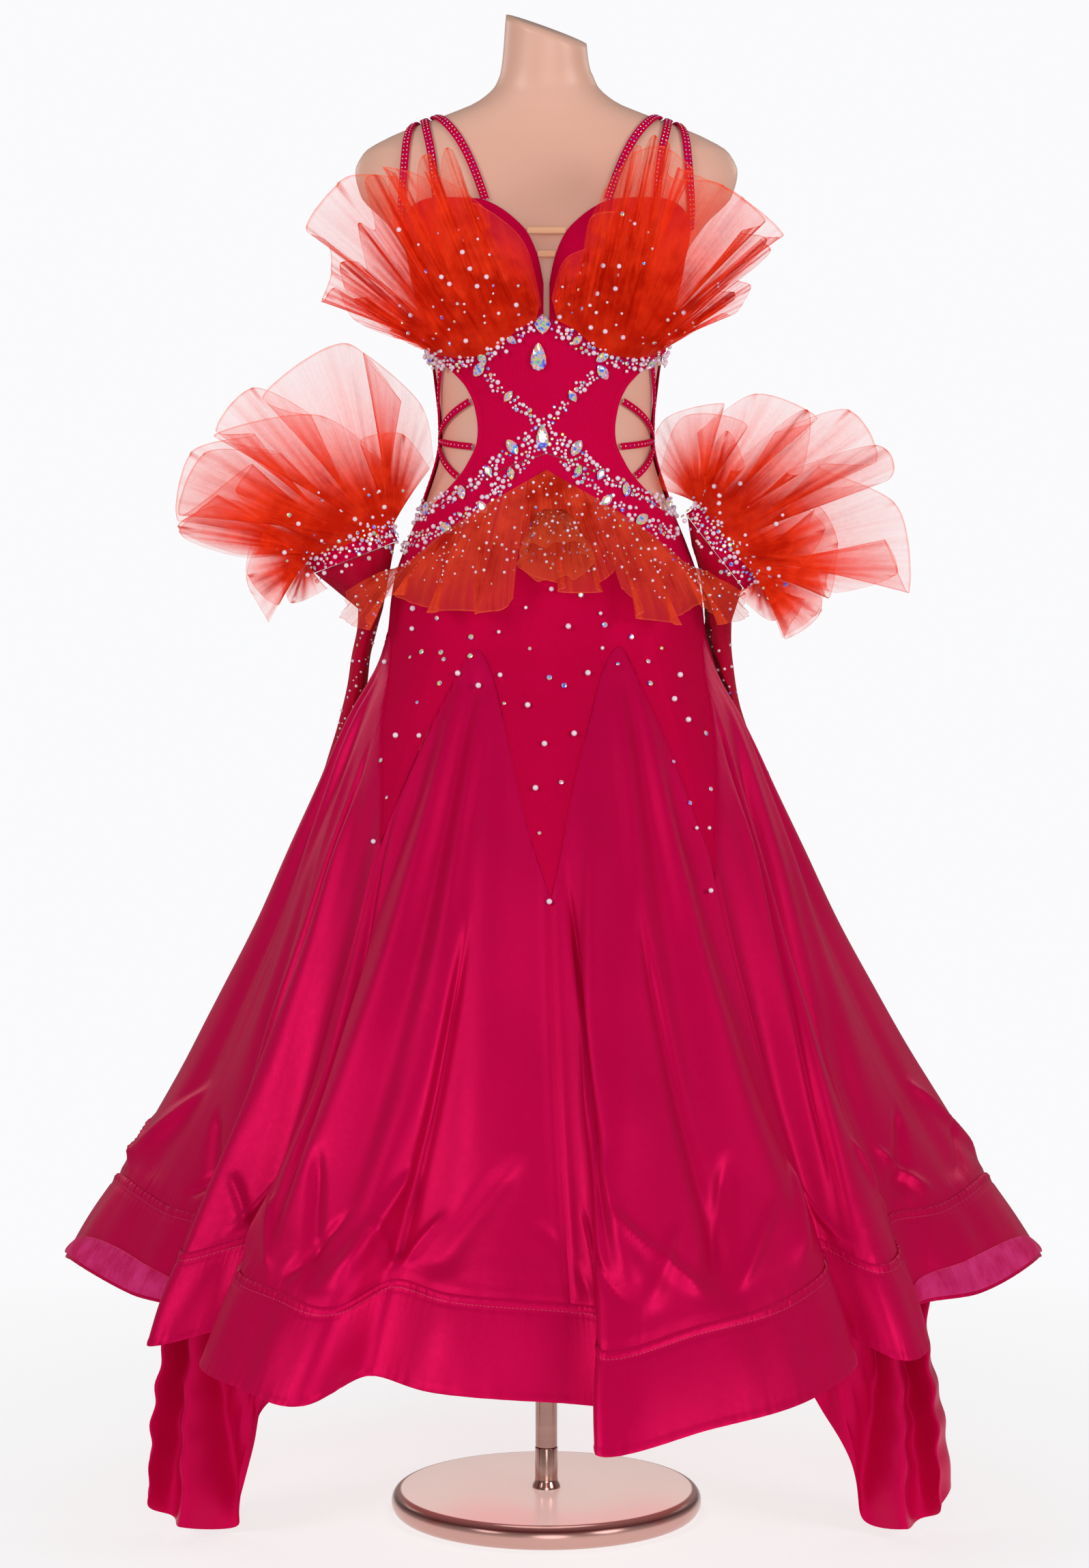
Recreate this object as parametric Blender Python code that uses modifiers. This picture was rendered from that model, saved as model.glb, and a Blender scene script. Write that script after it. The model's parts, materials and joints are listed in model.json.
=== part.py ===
"""A ballroom dance dress on a limbless dress form with a pole and a round base.

Metres, +Z up. X runs from the wearer's right to the wearer's left, the dress faces -Y, and the origin is
the centre of the base's underside. An azimuth is in degrees round the body, 0 at the front and 90 at +X.
Each cut piece of cloth is a flat grid that is moved to its place and given a wall.
"""

import math
from collections import namedtuple

import bmesh
import bpy
import numpy as np

# Driving sizes
JERSEY_WALL = 0.0012
SATIN_WALL = 0.0012
CRIN_WALL = 0.0010
HEM_WALL = 0.0016
HEM_GAP = 0.0012
STRAP_WALL = 0.0014
SEAM_GAP = 0.0003
ARCH_GAP = 0.0012
CLEAR_OF_FORM = 0.0028
CLEAR_OF_SHOULDER = 0.0022
HEM_BAND_HEIGHT = 0.090
STRAP_WIDTH = 0.0085
STRAP_PITCH = 0.0100
LATTICE_WIDTH = 0.0070
NECK_BAR_WIDTH = 0.0065
BASE_RADIUS = 0.166
BASE_THICKNESS = 0.026
POLE_RADIUS = 0.0117
SOCKET_HEIGHT = 0.044
NECK_CUT_START = 1.525
NECK_CUT_END = 1.560
FOLD_TOP = 0.880
WIDE_FOLD = 5.2
GATHER_GAP = 0.0009
STONE_GAP = 0.0006
CUP_PADDING = 0.0012

# The dress form: a general figure, from its flat underside to the cut of its neck
Section = namedtuple("Section", "height half_width front back lean")
FORM_SECTIONS = [
    Section(0.800, 0.112, 0.070, 0.082, 0.004),
    Section(0.812, 0.130, 0.082, 0.098, 0.004),
    Section(0.860, 0.153, 0.096, 0.117, 0.003),
    Section(0.930, 0.164, 0.104, 0.125, 0.002),
    Section(1.000, 0.156, 0.102, 0.112, 0.000),
    Section(1.070, 0.130, 0.093, 0.088, 0.000),
    Section(1.150, 0.109, 0.083, 0.076, 0.000),
    Section(1.210, 0.115, 0.087, 0.083, 0.000),
    Section(1.270, 0.127, 0.093, 0.094, 0.000),
    Section(1.330, 0.141, 0.093, 0.100, 0.002),
    Section(1.370, 0.166, 0.086, 0.098, 0.006),
    Section(1.400, 0.194, 0.078, 0.092, 0.009),
    Section(1.425, 0.200, 0.070, 0.084, 0.011),
    Section(1.445, 0.191, 0.063, 0.076, 0.012),
    Section(1.462, 0.163, 0.057, 0.067, 0.012),
    Section(1.474, 0.133, 0.053, 0.060, 0.011),
    Section(1.485, 0.103, 0.050, 0.055, 0.010),
    Section(1.498, 0.072, 0.047, 0.051, 0.008),
    Section(1.515, 0.053, 0.044, 0.048, 0.006),
    Section(1.535, 0.046, 0.043, 0.046, 0.003),
    Section(1.572, 0.042, 0.042, 0.043, -0.002),
]
BUST_X, BUST_HEIGHT = 0.070, 1.328
BUST_SPREAD_X, BUST_SPREAD_Z, BUST_DEPTH = 0.052, 0.058, 0.040
FORM_SQUARENESS = 0.025

# The skirt's own flare below the hips. Its lowest rows are the hem.
SKIRT_FLARE = [
    Section(0.905, 0.178, 0.122, 0.140, 0.0),
    Section(0.858, 0.201, 0.147, 0.164, 0.0),
    Section(0.780, 0.234, 0.192, 0.207, 0.0),
    Section(0.715, 0.262, 0.228, 0.241, 0.0),
    Section(0.637, 0.294, 0.268, 0.281, 0.0),
    Section(0.565, 0.328, 0.304, 0.318, 0.0),
    Section(0.492, 0.364, 0.341, 0.356, 0.0),
    Section(0.425, 0.403, 0.376, 0.392, 0.0),
    Section(0.360, 0.441, 0.411, 0.428, 0.0),
    Section(0.285, 0.484, 0.452, 0.468, 0.0),
    Section(0.180, 0.538, 0.505, 0.525, 0.0),
]

# Seams and godets round the skirt: a jersey point hangs at each seam, a godet rises to an apex between two
Seam = namedtuple("Seam", "azimuth height")
Godet = namedtuple("Godet", "name from_seam apex apex_height to_seam")
SEAMS = {
    "front": Seam(0, 0.688),
    "right_front": Seam(40, 0.702),
    "right_back": Seam(120, 0.705),
    "back": Seam(180, 0.690),
    "left_back": Seam(240, 0.705),
    "left_front": Seam(319, 0.735),
}
GODETS = [
    Godet("godet_front_right", "front", 26, 0.934, "right_front"),
    Godet("godet_side_right", "right_front", 80, 0.942, "right_back"),
    Godet("godet_back_right", "right_back", 150, 0.942, "back"),
    Godet("godet_back_left", "back", 210, 0.942, "left_back"),
    Godet("godet_side_left", "left_back", 280, 0.942, "left_front"),
    Godet("godet_front_left", "left_front", 335, 0.931, "front"),
]
ARCH_POWER = 1.8
ARCH_ROWS = 3

# The hem's folds: where each line of the cloth stands at the hem
HemFold = namedtuple("HemFold", "seam azimuth radius height")
HEM_FOLDS = [
    HemFold(0, 3.5, 0.462, 0.226),
    HemFold(5, 6.6, 0.480, 0.222),
    HemFold(11, 4.8, 0.540, 0.196),
    HemFold(20, 16.0, 0.528, 0.212),
    HemFold(30, 29.0, 0.505, 0.226),
    HemFold(35, 36.5, 0.482, 0.240),
    HemFold(45, 41.5, 0.428, 0.262),
    HemFold(51, 44.5, 0.480, 0.240),
    HemFold(58, 50.5, 0.480, 0.242),
    HemFold(66, 58.5, 0.430, 0.266),
    HemFold(75, 70.0, 0.470, 0.268),
    HemFold(88, 86.0, 0.522, 0.282),
    HemFold(99, 99.0, 0.520, 0.258),
    HemFold(108, 111.0, 0.452, 0.252),
    HemFold(118, 118.0, 0.512, 0.232),
    HemFold(129, 131.0, 0.440, 0.250),
    HemFold(140, 139.0, 0.520, 0.220),
    HemFold(152, 153.0, 0.446, 0.240),
    HemFold(163, 163.0, 0.528, 0.212),
    HemFold(176, 176.0, 0.456, 0.232),
    HemFold(188, 187.0, 0.530, 0.208),
    HemFold(201, 202.0, 0.450, 0.236),
    HemFold(212, 212.0, 0.524, 0.216),
    HemFold(224, 225.0, 0.444, 0.246),
    HemFold(236, 236.0, 0.514, 0.228),
    HemFold(248, 249.0, 0.446, 0.252),
    HemFold(261, 261.0, 0.508, 0.256),
    HemFold(273, 275.0, 0.505, 0.282),
    HemFold(285, 290.0, 0.452, 0.266),
    HemFold(294, 302.0, 0.425, 0.260),
    HemFold(301, 306.0, 0.482, 0.240),
    HemFold(307, 311.0, 0.438, 0.254),
    HemFold(313, 314.0, 0.412, 0.262),
    HemFold(325, 317.5, 0.486, 0.236),
    HemFold(333, 325.0, 0.500, 0.228),
    HemFold(341, 333.5, 0.500, 0.220),
    HemFold(347, 338.0, 0.438, 0.240),
    HemFold(353, 347.0, 0.452, 0.232),
]

# Edges of the bodice pieces, by azimuth from the front centre out to the side
Edge = namedtuple("Edge", "azimuth height")
UNDER_BUST = [Edge(0, 1.270), Edge(13, 1.257), Edge(21, 1.243), Edge(31, 1.231), Edge(44, 1.228),
              Edge(67, 1.233), Edge(90, 1.238), Edge(180, 1.238)]
CUP_TOP = [Edge(0, 1.290), Edge(4, 1.333), Edge(10, 1.364), Edge(22, 1.390), Edge(36, 1.393),
           Edge(52, 1.380), Edge(70, 1.348), Edge(90, 1.310), Edge(180, 1.300)]
HIP_SEAM = [Edge(0, 1.133), Edge(20, 1.118), Edge(45, 1.092), Edge(65, 1.073), Edge(90, 1.068),
            Edge(180, 1.068)]
RUFFLE_LINE = [Edge(0, 1.112), Edge(21, 1.078), Edge(33, 1.057), Edge(46, 1.032), Edge(66, 0.999),
               Edge(90, 0.986)]
CutOut = namedtuple("CutOut", "share half_angle")
FRONT_PANEL_SIDE = [CutOut(0.0, 66.0), CutOut(0.10, 50.5), CutOut(0.20, 43.5), CutOut(0.36, 39.5),
                    CutOut(0.52, 38.0), CutOut(0.66, 39.0), CutOut(0.78, 42.5), CutOut(0.86, 46.5),
                    CutOut(1.0, 65.0)]
BACK_PANEL_SIDE = [CutOut(0.0, 80.0), CutOut(0.5, 85.5), CutOut(1.0, 81.0)]
FRONT_PANEL_LINES = [-1, -0.82, -0.63, -0.44, -0.30, -0.16, 0, 0.16, 0.30, 0.44, 0.63, 0.82, 1]
FRONT_PANEL_ROWS = [0.0, 0.07, 0.14, 0.24, 0.36, 0.50, 0.66, 0.80, 0.90, 0.95, 1.0]
CUP_START, CUP_END = 1.4, 88.0
BACK_BAND_START = 88.35

# Side lattice: each strap leaves the knot at the side of the waist for the front panel or a seam
Ray = namedtuple("Ray", "name azimuth height")
LATTICE_KNOT = Edge(90.4, 1.146)
LATTICE_RAYS = [
    Ray("up", 62.0, 1.2305),
    Ray("upper", 45.6, 1.184),
    Ray("middle", 39.6, 1.139),
    Ray("lower", 43.6, 1.103),
    Ray("down", 89.0, 1.0705),
]
KNOT_RADIUS = 0.0060
RAY_START = 0.0064
RAY_SPREAD = 0.33
LATTICE_GAP = 2.7

# Shoulder straps: where each leaves the cup, in metres from the centre, and where it meets the back band
Strap = namedtuple("Strap", "name front_x order back_x")
STRAPS = [
    Strap("outer", 0.146, 1, 0.080),
    Strap("middle", 0.110, 0, 0.064),
    Strap("inner", 0.062, -1, 0.048),
]
SHOULDER_X = 0.127
NECK_BARS = {"neck_bar_upper": 1.3600, "neck_bar_lower": 1.3360}

# Crin ruffles. Each row is the tip or the hollow of a fold on the free edge, seen from the front: its turn
# from straight up towards the fan's outer side and its reach, both from the fan's centre, and its Y.
Fold = namedtuple("Fold", "turn reach y")
ARM_FAN_LEFT = [
    Fold(-46, 0.134, -0.072), Fold(-36, 0.142, -0.060), Fold(-27, 0.164, -0.088), Fold(-17, 0.190, -0.048),
    Fold(-8, 0.212, -0.098), Fold(0, 0.215, -0.030), Fold(9, 0.198, -0.095), Fold(18, 0.188, -0.022),
    Fold(26, 0.192, -0.090), Fold(34, 0.190, -0.020), Fold(43, 0.188, -0.100), Fold(51, 0.193, -0.022),
    Fold(59, 0.194, -0.098), Fold(67, 0.197, -0.025), Fold(75, 0.188, -0.092), Fold(84, 0.178, -0.028),
    Fold(92, 0.122, -0.080), Fold(101, 0.108, -0.028), Fold(110, 0.116, -0.078), Fold(120, 0.117, -0.030),
    Fold(131, 0.114, -0.062), Fold(124, 0.112, 0.020), Fold(98, 0.120, 0.058), Fold(70, 0.158, 0.030),
    Fold(42, 0.160, 0.064), Fold(14, 0.168, 0.032), Fold(-16, 0.150, 0.060), Fold(-40, 0.120, 0.020),
]
ARM_FAN_RIGHT = [
    Fold(-42, 0.120, -0.070), Fold(-32, 0.145, -0.048), Fold(-22, 0.146, -0.090), Fold(-12, 0.146, -0.044),
    Fold(-3, 0.150, -0.086), Fold(5, 0.136, -0.052), Fold(13, 0.162, -0.088), Fold(21, 0.169, -0.024),
    Fold(31, 0.168, -0.088), Fold(41, 0.192, -0.028), Fold(49, 0.186, -0.098), Fold(57, 0.192, -0.028),
    Fold(65, 0.196, -0.102), Fold(74, 0.194, -0.030), Fold(83, 0.193, -0.100), Fold(92, 0.197, -0.032),
    Fold(101, 0.203, -0.092), Fold(108, 0.136, -0.034), Fold(115, 0.122, -0.086), Fold(124, 0.124, -0.028),
    Fold(135, 0.120, -0.078), Fold(147, 0.110, -0.040), Fold(140, 0.106, 0.020), Fold(112, 0.134, 0.060),
    Fold(84, 0.158, 0.030), Fold(56, 0.158, 0.066), Fold(28, 0.146, 0.032), Fold(-4, 0.130, 0.058),
    Fold(-34, 0.108, 0.022),
]
BUST_FAN_LEFT = [
    Fold(-56, 0.084, -0.120), Fold(-48, 0.098, -0.138), Fold(-40, 0.109, -0.126), Fold(-32, 0.118, -0.150),
    Fold(-23, 0.126, -0.132), Fold(-14, 0.131, -0.160), Fold(-6, 0.134, -0.138), Fold(2, 0.138, -0.162),
    Fold(8, 0.194, -0.126), Fold(13, 0.186, -0.156), Fold(18, 0.189, -0.110), Fold(24, 0.184, -0.148),
    Fold(30, 0.207, -0.094), Fold(37, 0.215, -0.142), Fold(44, 0.218, -0.076), Fold(51, 0.212, -0.130),
    Fold(57, 0.184, -0.092), Fold(65, 0.158, -0.108), Fold(75, 0.130, -0.096),
]
BUST_FAN_RIGHT = [
    Fold(-56, 0.084, -0.120), Fold(-48, 0.097, -0.138), Fold(-40, 0.106, -0.126), Fold(-32, 0.115, -0.150),
    Fold(-24, 0.125, -0.132), Fold(-16, 0.136, -0.160), Fold(-9, 0.158, -0.134), Fold(-2, 0.184, -0.152),
    Fold(4, 0.203, -0.118), Fold(9, 0.207, -0.152), Fold(14, 0.200, -0.108), Fold(20, 0.189, -0.150),
    Fold(27, 0.189, -0.098), Fold(35, 0.187, -0.144), Fold(43, 0.187, -0.088), Fold(50, 0.190, -0.136),
    Fold(55, 0.196, -0.094), Fold(62, 0.162, -0.110), Fold(69, 0.140, -0.090), Fold(76, 0.116, -0.094),
]
BUST_FAN_CENTRE = (0.078, 1.245)
BUST_GATHER = (4.5, 66.0)
FAN_OUT = [0.0, 0.12, 0.36, 0.66, 1.0]
SHORT_OUT = [0.0, 0.20, 0.58, 1.0]
FOLD_POWER = 1.7

# The ruffle below the waist, in three lengths: each fold's azimuth, height and distance off the skirt
Wave = namedtuple("Wave", "azimuth height off")
PEPLUM_LEFT = [
    Wave(-77, 0.984, 0.050), Wave(-74, 0.958, 0.058), Wave(-69, 0.944, 0.034), Wave(-63, 0.958, 0.044),
    Wave(-57, 0.985, 0.020), Wave(-50, 0.985, 0.045), Wave(-43, 0.974, 0.016), Wave(-37, 0.970, 0.046),
    Wave(-30, 0.972, 0.018), Wave(-23, 0.970, 0.044), Wave(-16, 0.972, 0.018), Wave(-11, 0.985, 0.030),
]
PEPLUM_CENTRE = [
    Wave(-12, 1.036, 0.030), Wave(-7, 1.022, 0.056), Wave(-1, 1.003, 0.030), Wave(5, 0.994, 0.060),
    Wave(11, 0.990, 0.034), Wave(17, 0.992, 0.060), Wave(22, 1.003, 0.030), Wave(25, 1.020, 0.040),
]
PEPLUM_RIGHT = [
    Wave(26, 0.994, 0.020), Wave(31, 0.970, 0.040), Wave(36, 0.962, 0.016), Wave(42, 0.957, 0.046),
    Wave(49, 0.966, 0.018), Wave(55, 0.980, 0.040), Wave(61, 0.970, 0.024), Wave(66, 0.954, 0.042),
    Wave(71, 0.952, 0.026), Wave(75, 0.958, 0.052), Wave(78, 0.980, 0.048),
]
Length = namedtuple("Length", "name start end waves")
PEPLUM = [
    Length("peplum_left", -77.0, -9.0, PEPLUM_LEFT),
    Length("peplum_centre", -8.5, 17.0, PEPLUM_CENTRE),
    Length("peplum_right", 17.5, 77.0, PEPLUM_RIGHT),
]

# Gauntlets: a cuff beside the hip, and below it a flat empty sleeve that hangs against the skirt
Cuff = namedtuple("Cuff", "side x y height lean half_length half_depth front_share sleeve_gap")
CUFFS = {
    "left": Cuff(-1, 0.205, -0.016, 1.034, 21.0, 0.046, 0.028, 0.72, 0.0012),
    "right": Cuff(1, 0.186, -0.018, 1.036, 52.0, 0.048, 0.028, 0.74, 0.0016),
}
CUFF_HEIGHT = 0.022
CUFF_WALL = 0.0016
Sleeve = namedtuple("Sleeve", "height x y half_across half_deep")
SLEEVES = {
    "left": [
        Sleeve(0.757, 0.2330, 0.100, 0.0110, 0.026),
        Sleeve(0.774, 0.2330, 0.095, 0.0120, 0.027),
        Sleeve(0.798, 0.2265, 0.086, 0.0110, 0.025),
        Sleeve(0.842, 0.2125, 0.068, 0.0110, 0.025),
        Sleeve(0.887, 0.2015, 0.048, 0.0105, 0.026),
        Sleeve(0.917, 0.1970, 0.034, 0.0100, 0.026),
        Sleeve(0.944, 0.1905, 0.026, 0.0105, 0.026),
        Sleeve(0.968, 0.1860, 0.020, 0.0130, 0.026),
    ],
    "right": [
        Sleeve(0.757, 0.2320, 0.100, 0.0105, 0.026),
        Sleeve(0.785, 0.2295, 0.094, 0.0115, 0.027),
        Sleeve(0.805, 0.2170, 0.086, 0.0105, 0.025),
        Sleeve(0.835, 0.2060, 0.074, 0.0105, 0.025),
        Sleeve(0.865, 0.1960, 0.056, 0.0105, 0.025),
        Sleeve(0.905, 0.1870, 0.036, 0.0120, 0.026),
        Sleeve(0.935, 0.1820, 0.026, 0.0140, 0.026),
        Sleeve(0.955, 0.1810, 0.020, 0.0150, 0.026),
    ],
}
SLEEVE_TOP_SHARE = 0.86

# Floats: each is sewn inside the skirt at two valleys of its folds and hangs to just above the floor
Float = namedtuple("Float", "x y foot")
FloatSeat = namedtuple("FloatSeat", "seam height")
FLOAT_SEATS = {
    "float_left": (FloatSeat(285, 0.455), FloatSeat(313, 0.440)),
    "float_right": (FloatSeat(75, 0.455), FloatSeat(45, 0.440)),
}
FLOAT_SAG = 0.016
FLOAT_GAP = 0.0008
FLOAT_FEET = {
    "float_left": [
        Float(-0.412, -0.060, 0.040), Float(-0.424, -0.104, 0.022), Float(-0.392, -0.084, 0.012),
        Float(-0.372, -0.120, 0.006), Float(-0.336, -0.096, 0.004), Float(-0.322, -0.128, 0.052),
        Float(-0.300, -0.118, 0.120), Float(-0.262, -0.140, 0.178),
    ],
    "float_right": [
        Float(0.424, -0.060, 0.030), Float(0.420, -0.104, 0.016), Float(0.392, -0.082, 0.008),
        Float(0.366, -0.118, 0.004), Float(0.342, -0.096, 0.010), Float(0.320, -0.126, 0.088),
        Float(0.282, -0.112, 0.142), Float(0.226, -0.146, 0.196),
    ],
}

# Large crystals sewn on the bodice front: half sizes across and down
Stone = namedtuple("Stone", "name height half_across half_down rise")
STONES = [
    Stone("stone_bust_diamond", 1.2660, 0.0085, 0.0120, 0.0050),
    Stone("stone_bust_drop", 1.2330, 0.0080, 0.0150, 0.0050),
    Stone("stone_waist_drop", 1.1500, 0.0070, 0.0130, 0.0045),
]

# Colours: red, green, blue, roughness, metallic
FINISHES = {
    "jersey": (0.50, 0.004, 0.045, 0.75, 0.0),
    "satin": (0.60, 0.002, 0.065, 0.35, 0.0),
    "crin": (0.85, 0.040, 0.008, 0.45, 0.0),
    "sheer_mesh": (0.36, 0.004, 0.025, 0.60, 0.0),
    "nude_elastic": (0.86, 0.52, 0.30, 0.60, 0.0),
    "crystal": (0.85, 0.80, 0.90, 0.05, 0.0),
    "form_shell": (0.78, 0.50, 0.40, 0.45, 0.0),
    "rose_metal": (0.80, 0.52, 0.46, 0.15, 1.0),
}

parts = bpy.data.collections.new("Ballroom dance dress")


# Tools


def clear_scene():
    for obj in list(bpy.data.objects):
        bpy.data.objects.remove(obj)
    bpy.context.scene.collection.children.link(parts)


def finish_material(name):
    """The Principled material of one finish, made once."""
    if name in bpy.data.materials:
        return bpy.data.materials[name]
    red, green, blue, roughness, metallic = FINISHES[name]
    material = bpy.data.materials.new(name)
    material.use_nodes = True
    shader = material.node_tree.nodes["Principled BSDF"]
    shader.inputs["Base Color"].default_value = (red, green, blue, 1.0)
    shader.inputs["Roughness"].default_value = roughness
    shader.inputs["Metallic"].default_value = metallic
    return material


def add_piece(name, shape, finish):
    """An object in the dress's collection from a bmesh."""
    mesh = bpy.data.meshes.new(name)
    shape.to_mesh(mesh)
    shape.free()
    piece = bpy.data.objects.new(name, mesh)
    mesh.materials.append(finish_material(finish))
    parts.objects.link(piece)
    return piece


def hermite(start, end, start_slope, end_slope, step, part):
    square, cube = part * part, part * part * part
    return (
        start * (2 * cube - 3 * square + 1)
        + start_slope * step * (cube - 2 * square + part)
        + end * (3 * square - 2 * cube)
        + end_slope * step * (cube - square)
    )


def smooth(rows, column, at):
    """A curve through one column of a table that never overshoots its rows, read at the first column."""
    knots = np.array([row[0] for row in rows], float)
    values = np.array([getattr(row, column) for row in rows], float)
    at = np.clip(at, knots[0], knots[-1])
    steps = np.diff(knots)
    slopes = np.diff(values) / steps
    product = slopes[:-1] * slopes[1:]
    total = np.where(product > 0, slopes[:-1] + slopes[1:], 1.0)
    tangents = np.concatenate([slopes[:1], np.where(product > 0, 2 * product / total, 0.0), slopes[-1:]])
    i = np.clip(np.searchsorted(knots, at, side="right") - 1, 0, len(steps) - 1)
    part = (at - knots[i]) / steps[i]
    return hermite(values[i], values[i + 1], tangents[i], tangents[i + 1], steps[i], part)


def round_the_hem(column, seam):
    """A closed curve through one column of the hem's folds."""
    knots = np.array([row.seam for row in HEM_FOLDS], float)
    values = np.array([getattr(row, column) for row in HEM_FOLDS], float)
    turn = 360.0 if column == "azimuth" else 0.0
    knots = np.concatenate([knots[-2:] - 360, knots, knots[:3] + 360])
    values = np.concatenate([values[-2:] - turn, values, values[:3] + turn])
    tangents = np.gradient(values, knots)
    seam = np.mod(seam, 360.0)
    i = np.searchsorted(knots, seam, side="right") - 1
    step = knots[i + 1] - knots[i]
    part = (seam - knots[i]) / step
    return hermite(values[i], values[i + 1], tangents[i], tangents[i + 1], step, part)


def flowing(points, share, closed=False):
    """A soft curve through points, read at a share of the way along."""
    points = np.array(points)
    count = len(points)
    spans = count if closed else count - 1
    place = np.clip(share, 0, 1) * spans
    i = np.minimum(np.floor(place).astype(int), spans - 1)

    def row(k):
        return points[k % count] if closed else points[np.clip(k, 0, count - 1)]

    part = (place - i)[:, None]
    slope, next_slope = (row(i + 1) - row(i - 1)) / 2, (row(i + 2) - row(i)) / 2
    return hermite(row(i), row(i + 1), slope, next_slope, 1.0, part)


def section_point(sections, azimuth, height, lean=True):
    """A point on a body of oval sections."""
    angle = np.radians(azimuth)
    across, ahead = np.sin(angle), np.cos(angle)
    depth = np.where(ahead > 0, smooth(sections, "front", height), smooth(sections, "back", height))
    swell = 1 + FORM_SQUARENESS * np.sin(2 * angle) ** 2
    x = smooth(sections, "half_width", height) * across * swell
    y = -depth * ahead * swell
    if lean:
        y = y + smooth(sections, "lean", height)
    return np.stack([x, y, height + np.zeros_like(x)], -1)


def form_surface(azimuth, height):
    """The dress form's surface, with its bust and the slanted cut of its neck."""
    point = section_point(FORM_SECTIONS, azimuth, height)
    x, y = point[..., 0], point[..., 1]
    front = np.clip(np.cos(np.radians(azimuth)) * 2.5, 0, 1)
    rise = np.exp(-(((height - BUST_HEIGHT) / BUST_SPREAD_Z) ** 2))
    bumps = sum(np.exp(-(((x - side * BUST_X) / BUST_SPREAD_X) ** 2)) for side in (-1, 1))
    cut = np.clip((height - NECK_CUT_START) / (NECK_CUT_END - NECK_CUT_START), 0, 1)
    point[..., 1] = y - BUST_DEPTH * front * rise * bumps
    point[..., 2] = height + cut * (0.16 * y - 0.36 * x)
    return point


def off_surface(surface, azimuth, height, out):
    """A point moved straight out from a surface."""
    azimuth, height = np.broadcast_arrays(np.asarray(azimuth, float), np.asarray(height, float))
    turn, lift = 0.5, 0.0015
    across = surface(azimuth + turn, height) - surface(azimuth - turn, height)
    up = surface(azimuth, height + lift) - surface(azimuth, height - lift)
    normal = np.cross(across, up)
    normal /= np.linalg.norm(normal, axis=-1, keepdims=True)
    return surface(azimuth, height) + normal * np.asarray(out)[..., None]


def off_form(azimuth, height, out):
    return off_surface(form_surface, azimuth, height, out)


def edge_height(edges, azimuth):
    """The height of a bodice edge, the same on both sides of the body."""
    around = np.abs(np.mod(np.asarray(azimuth, float) + 180, 360) - 180)
    return smooth(edges, "height", around)


SKIRT_SECTIONS = SKIRT_FLARE[::-1] + [
    Section(
        height,
        float(smooth(FORM_SECTIONS, "half_width", height)) + CLEAR_OF_FORM,
        float(smooth(FORM_SECTIONS, "front", height)) + CLEAR_OF_FORM,
        float(smooth(FORM_SECTIONS, "back", height)) + CLEAR_OF_FORM,
        float(smooth(FORM_SECTIONS, "lean", height)),
    )
    for height in (0.945, 0.975, 1.000, 1.035, 1.070, 1.105, 1.150)
]


def skirt_surface(seam, height):
    """The skirt's inner face: the line of cloth that starts at an azimuth, followed down to the hem."""
    seam, height = np.broadcast_arrays(np.asarray(seam, float), np.asarray(height, float))
    azimuth, radius = round_the_hem("azimuth", seam), round_the_hem("radius", seam)
    foot = round_the_hem("height", seam)
    around = np.mod(seam, 360.0)
    fall = np.clip((FOLD_TOP - height) / (FOLD_TOP - foot), 0, 1)
    turned = around + (azimuth - around) * fall**1.15
    plain = section_point(SKIRT_SECTIONS, turned, height)
    at_hem = section_point(SKIRT_SECTIONS, azimuth, foot)
    reach = radius - np.hypot(at_hem[..., 0], at_hem[..., 1])
    angle = np.radians(turned)
    way = np.stack([np.sin(angle), -np.cos(angle), np.zeros_like(angle)], -1)
    return plain + way * (reach * fall**1.6)[..., None]


def cloth(name, place, columns, rows, finish, wall, closed=False):
    """A flat grid of cloth, moved to its place and given a wall on its outer side. place takes arrays of
    the grid's own column and row values and gives points."""
    shape = bmesh.new()
    bmesh.ops.create_grid(shape, x_segments=len(columns) - 1, y_segments=len(rows) - 1, size=0.5)
    shape.verts.ensure_lookup_table()
    flat = np.array([vertex.co[:2] for vertex in shape.verts]) + 0.5
    across = np.asarray(columns, float)[np.rint(flat[:, 0] * (len(columns) - 1)).astype(int)]
    down = np.asarray(rows, float)[np.rint(flat[:, 1] * (len(rows) - 1)).astype(int)]
    for vertex, point in zip(shape.verts, place(across, down)):
        vertex.co = point
    bmesh.ops.triangulate(shape, faces=shape.faces)
    if closed:
        bmesh.ops.remove_doubles(shape, verts=shape.verts, dist=1e-6)
    piece = add_piece(name, shape, finish)
    thicken = piece.modifiers.new("wall", "SOLIDIFY")
    thicken.thickness = wall
    thicken.offset = 1.0
    return piece


def ribbon(name, points, normals, width, finish, wall):
    """A flat strap along points, its width square to them and to their normals."""
    along = np.gradient(points, axis=0)
    side = np.cross(along, normals)
    side /= np.linalg.norm(side, axis=1, keepdims=True)
    count = len(points)
    widths = np.broadcast_to(width, count)

    def place(across, down):
        i = np.rint(down * (count - 1)).astype(int)
        return points[i] + side[i] * (across * widths[i] / 2)[:, None]

    return cloth(name, place, [-1, 1], np.linspace(0, 1, count), finish, wall)


def form_route(azimuths, heights, out):
    """Points and normals of a route on the form."""
    azimuths, heights = np.asarray(azimuths, float), np.asarray(heights, float)
    inner = off_form(azimuths, heights, 0.0)
    outer = off_form(azimuths, heights, 0.01)
    return inner + (outer - inner) * (out / 0.01), (outer - inner) / 0.01


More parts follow.
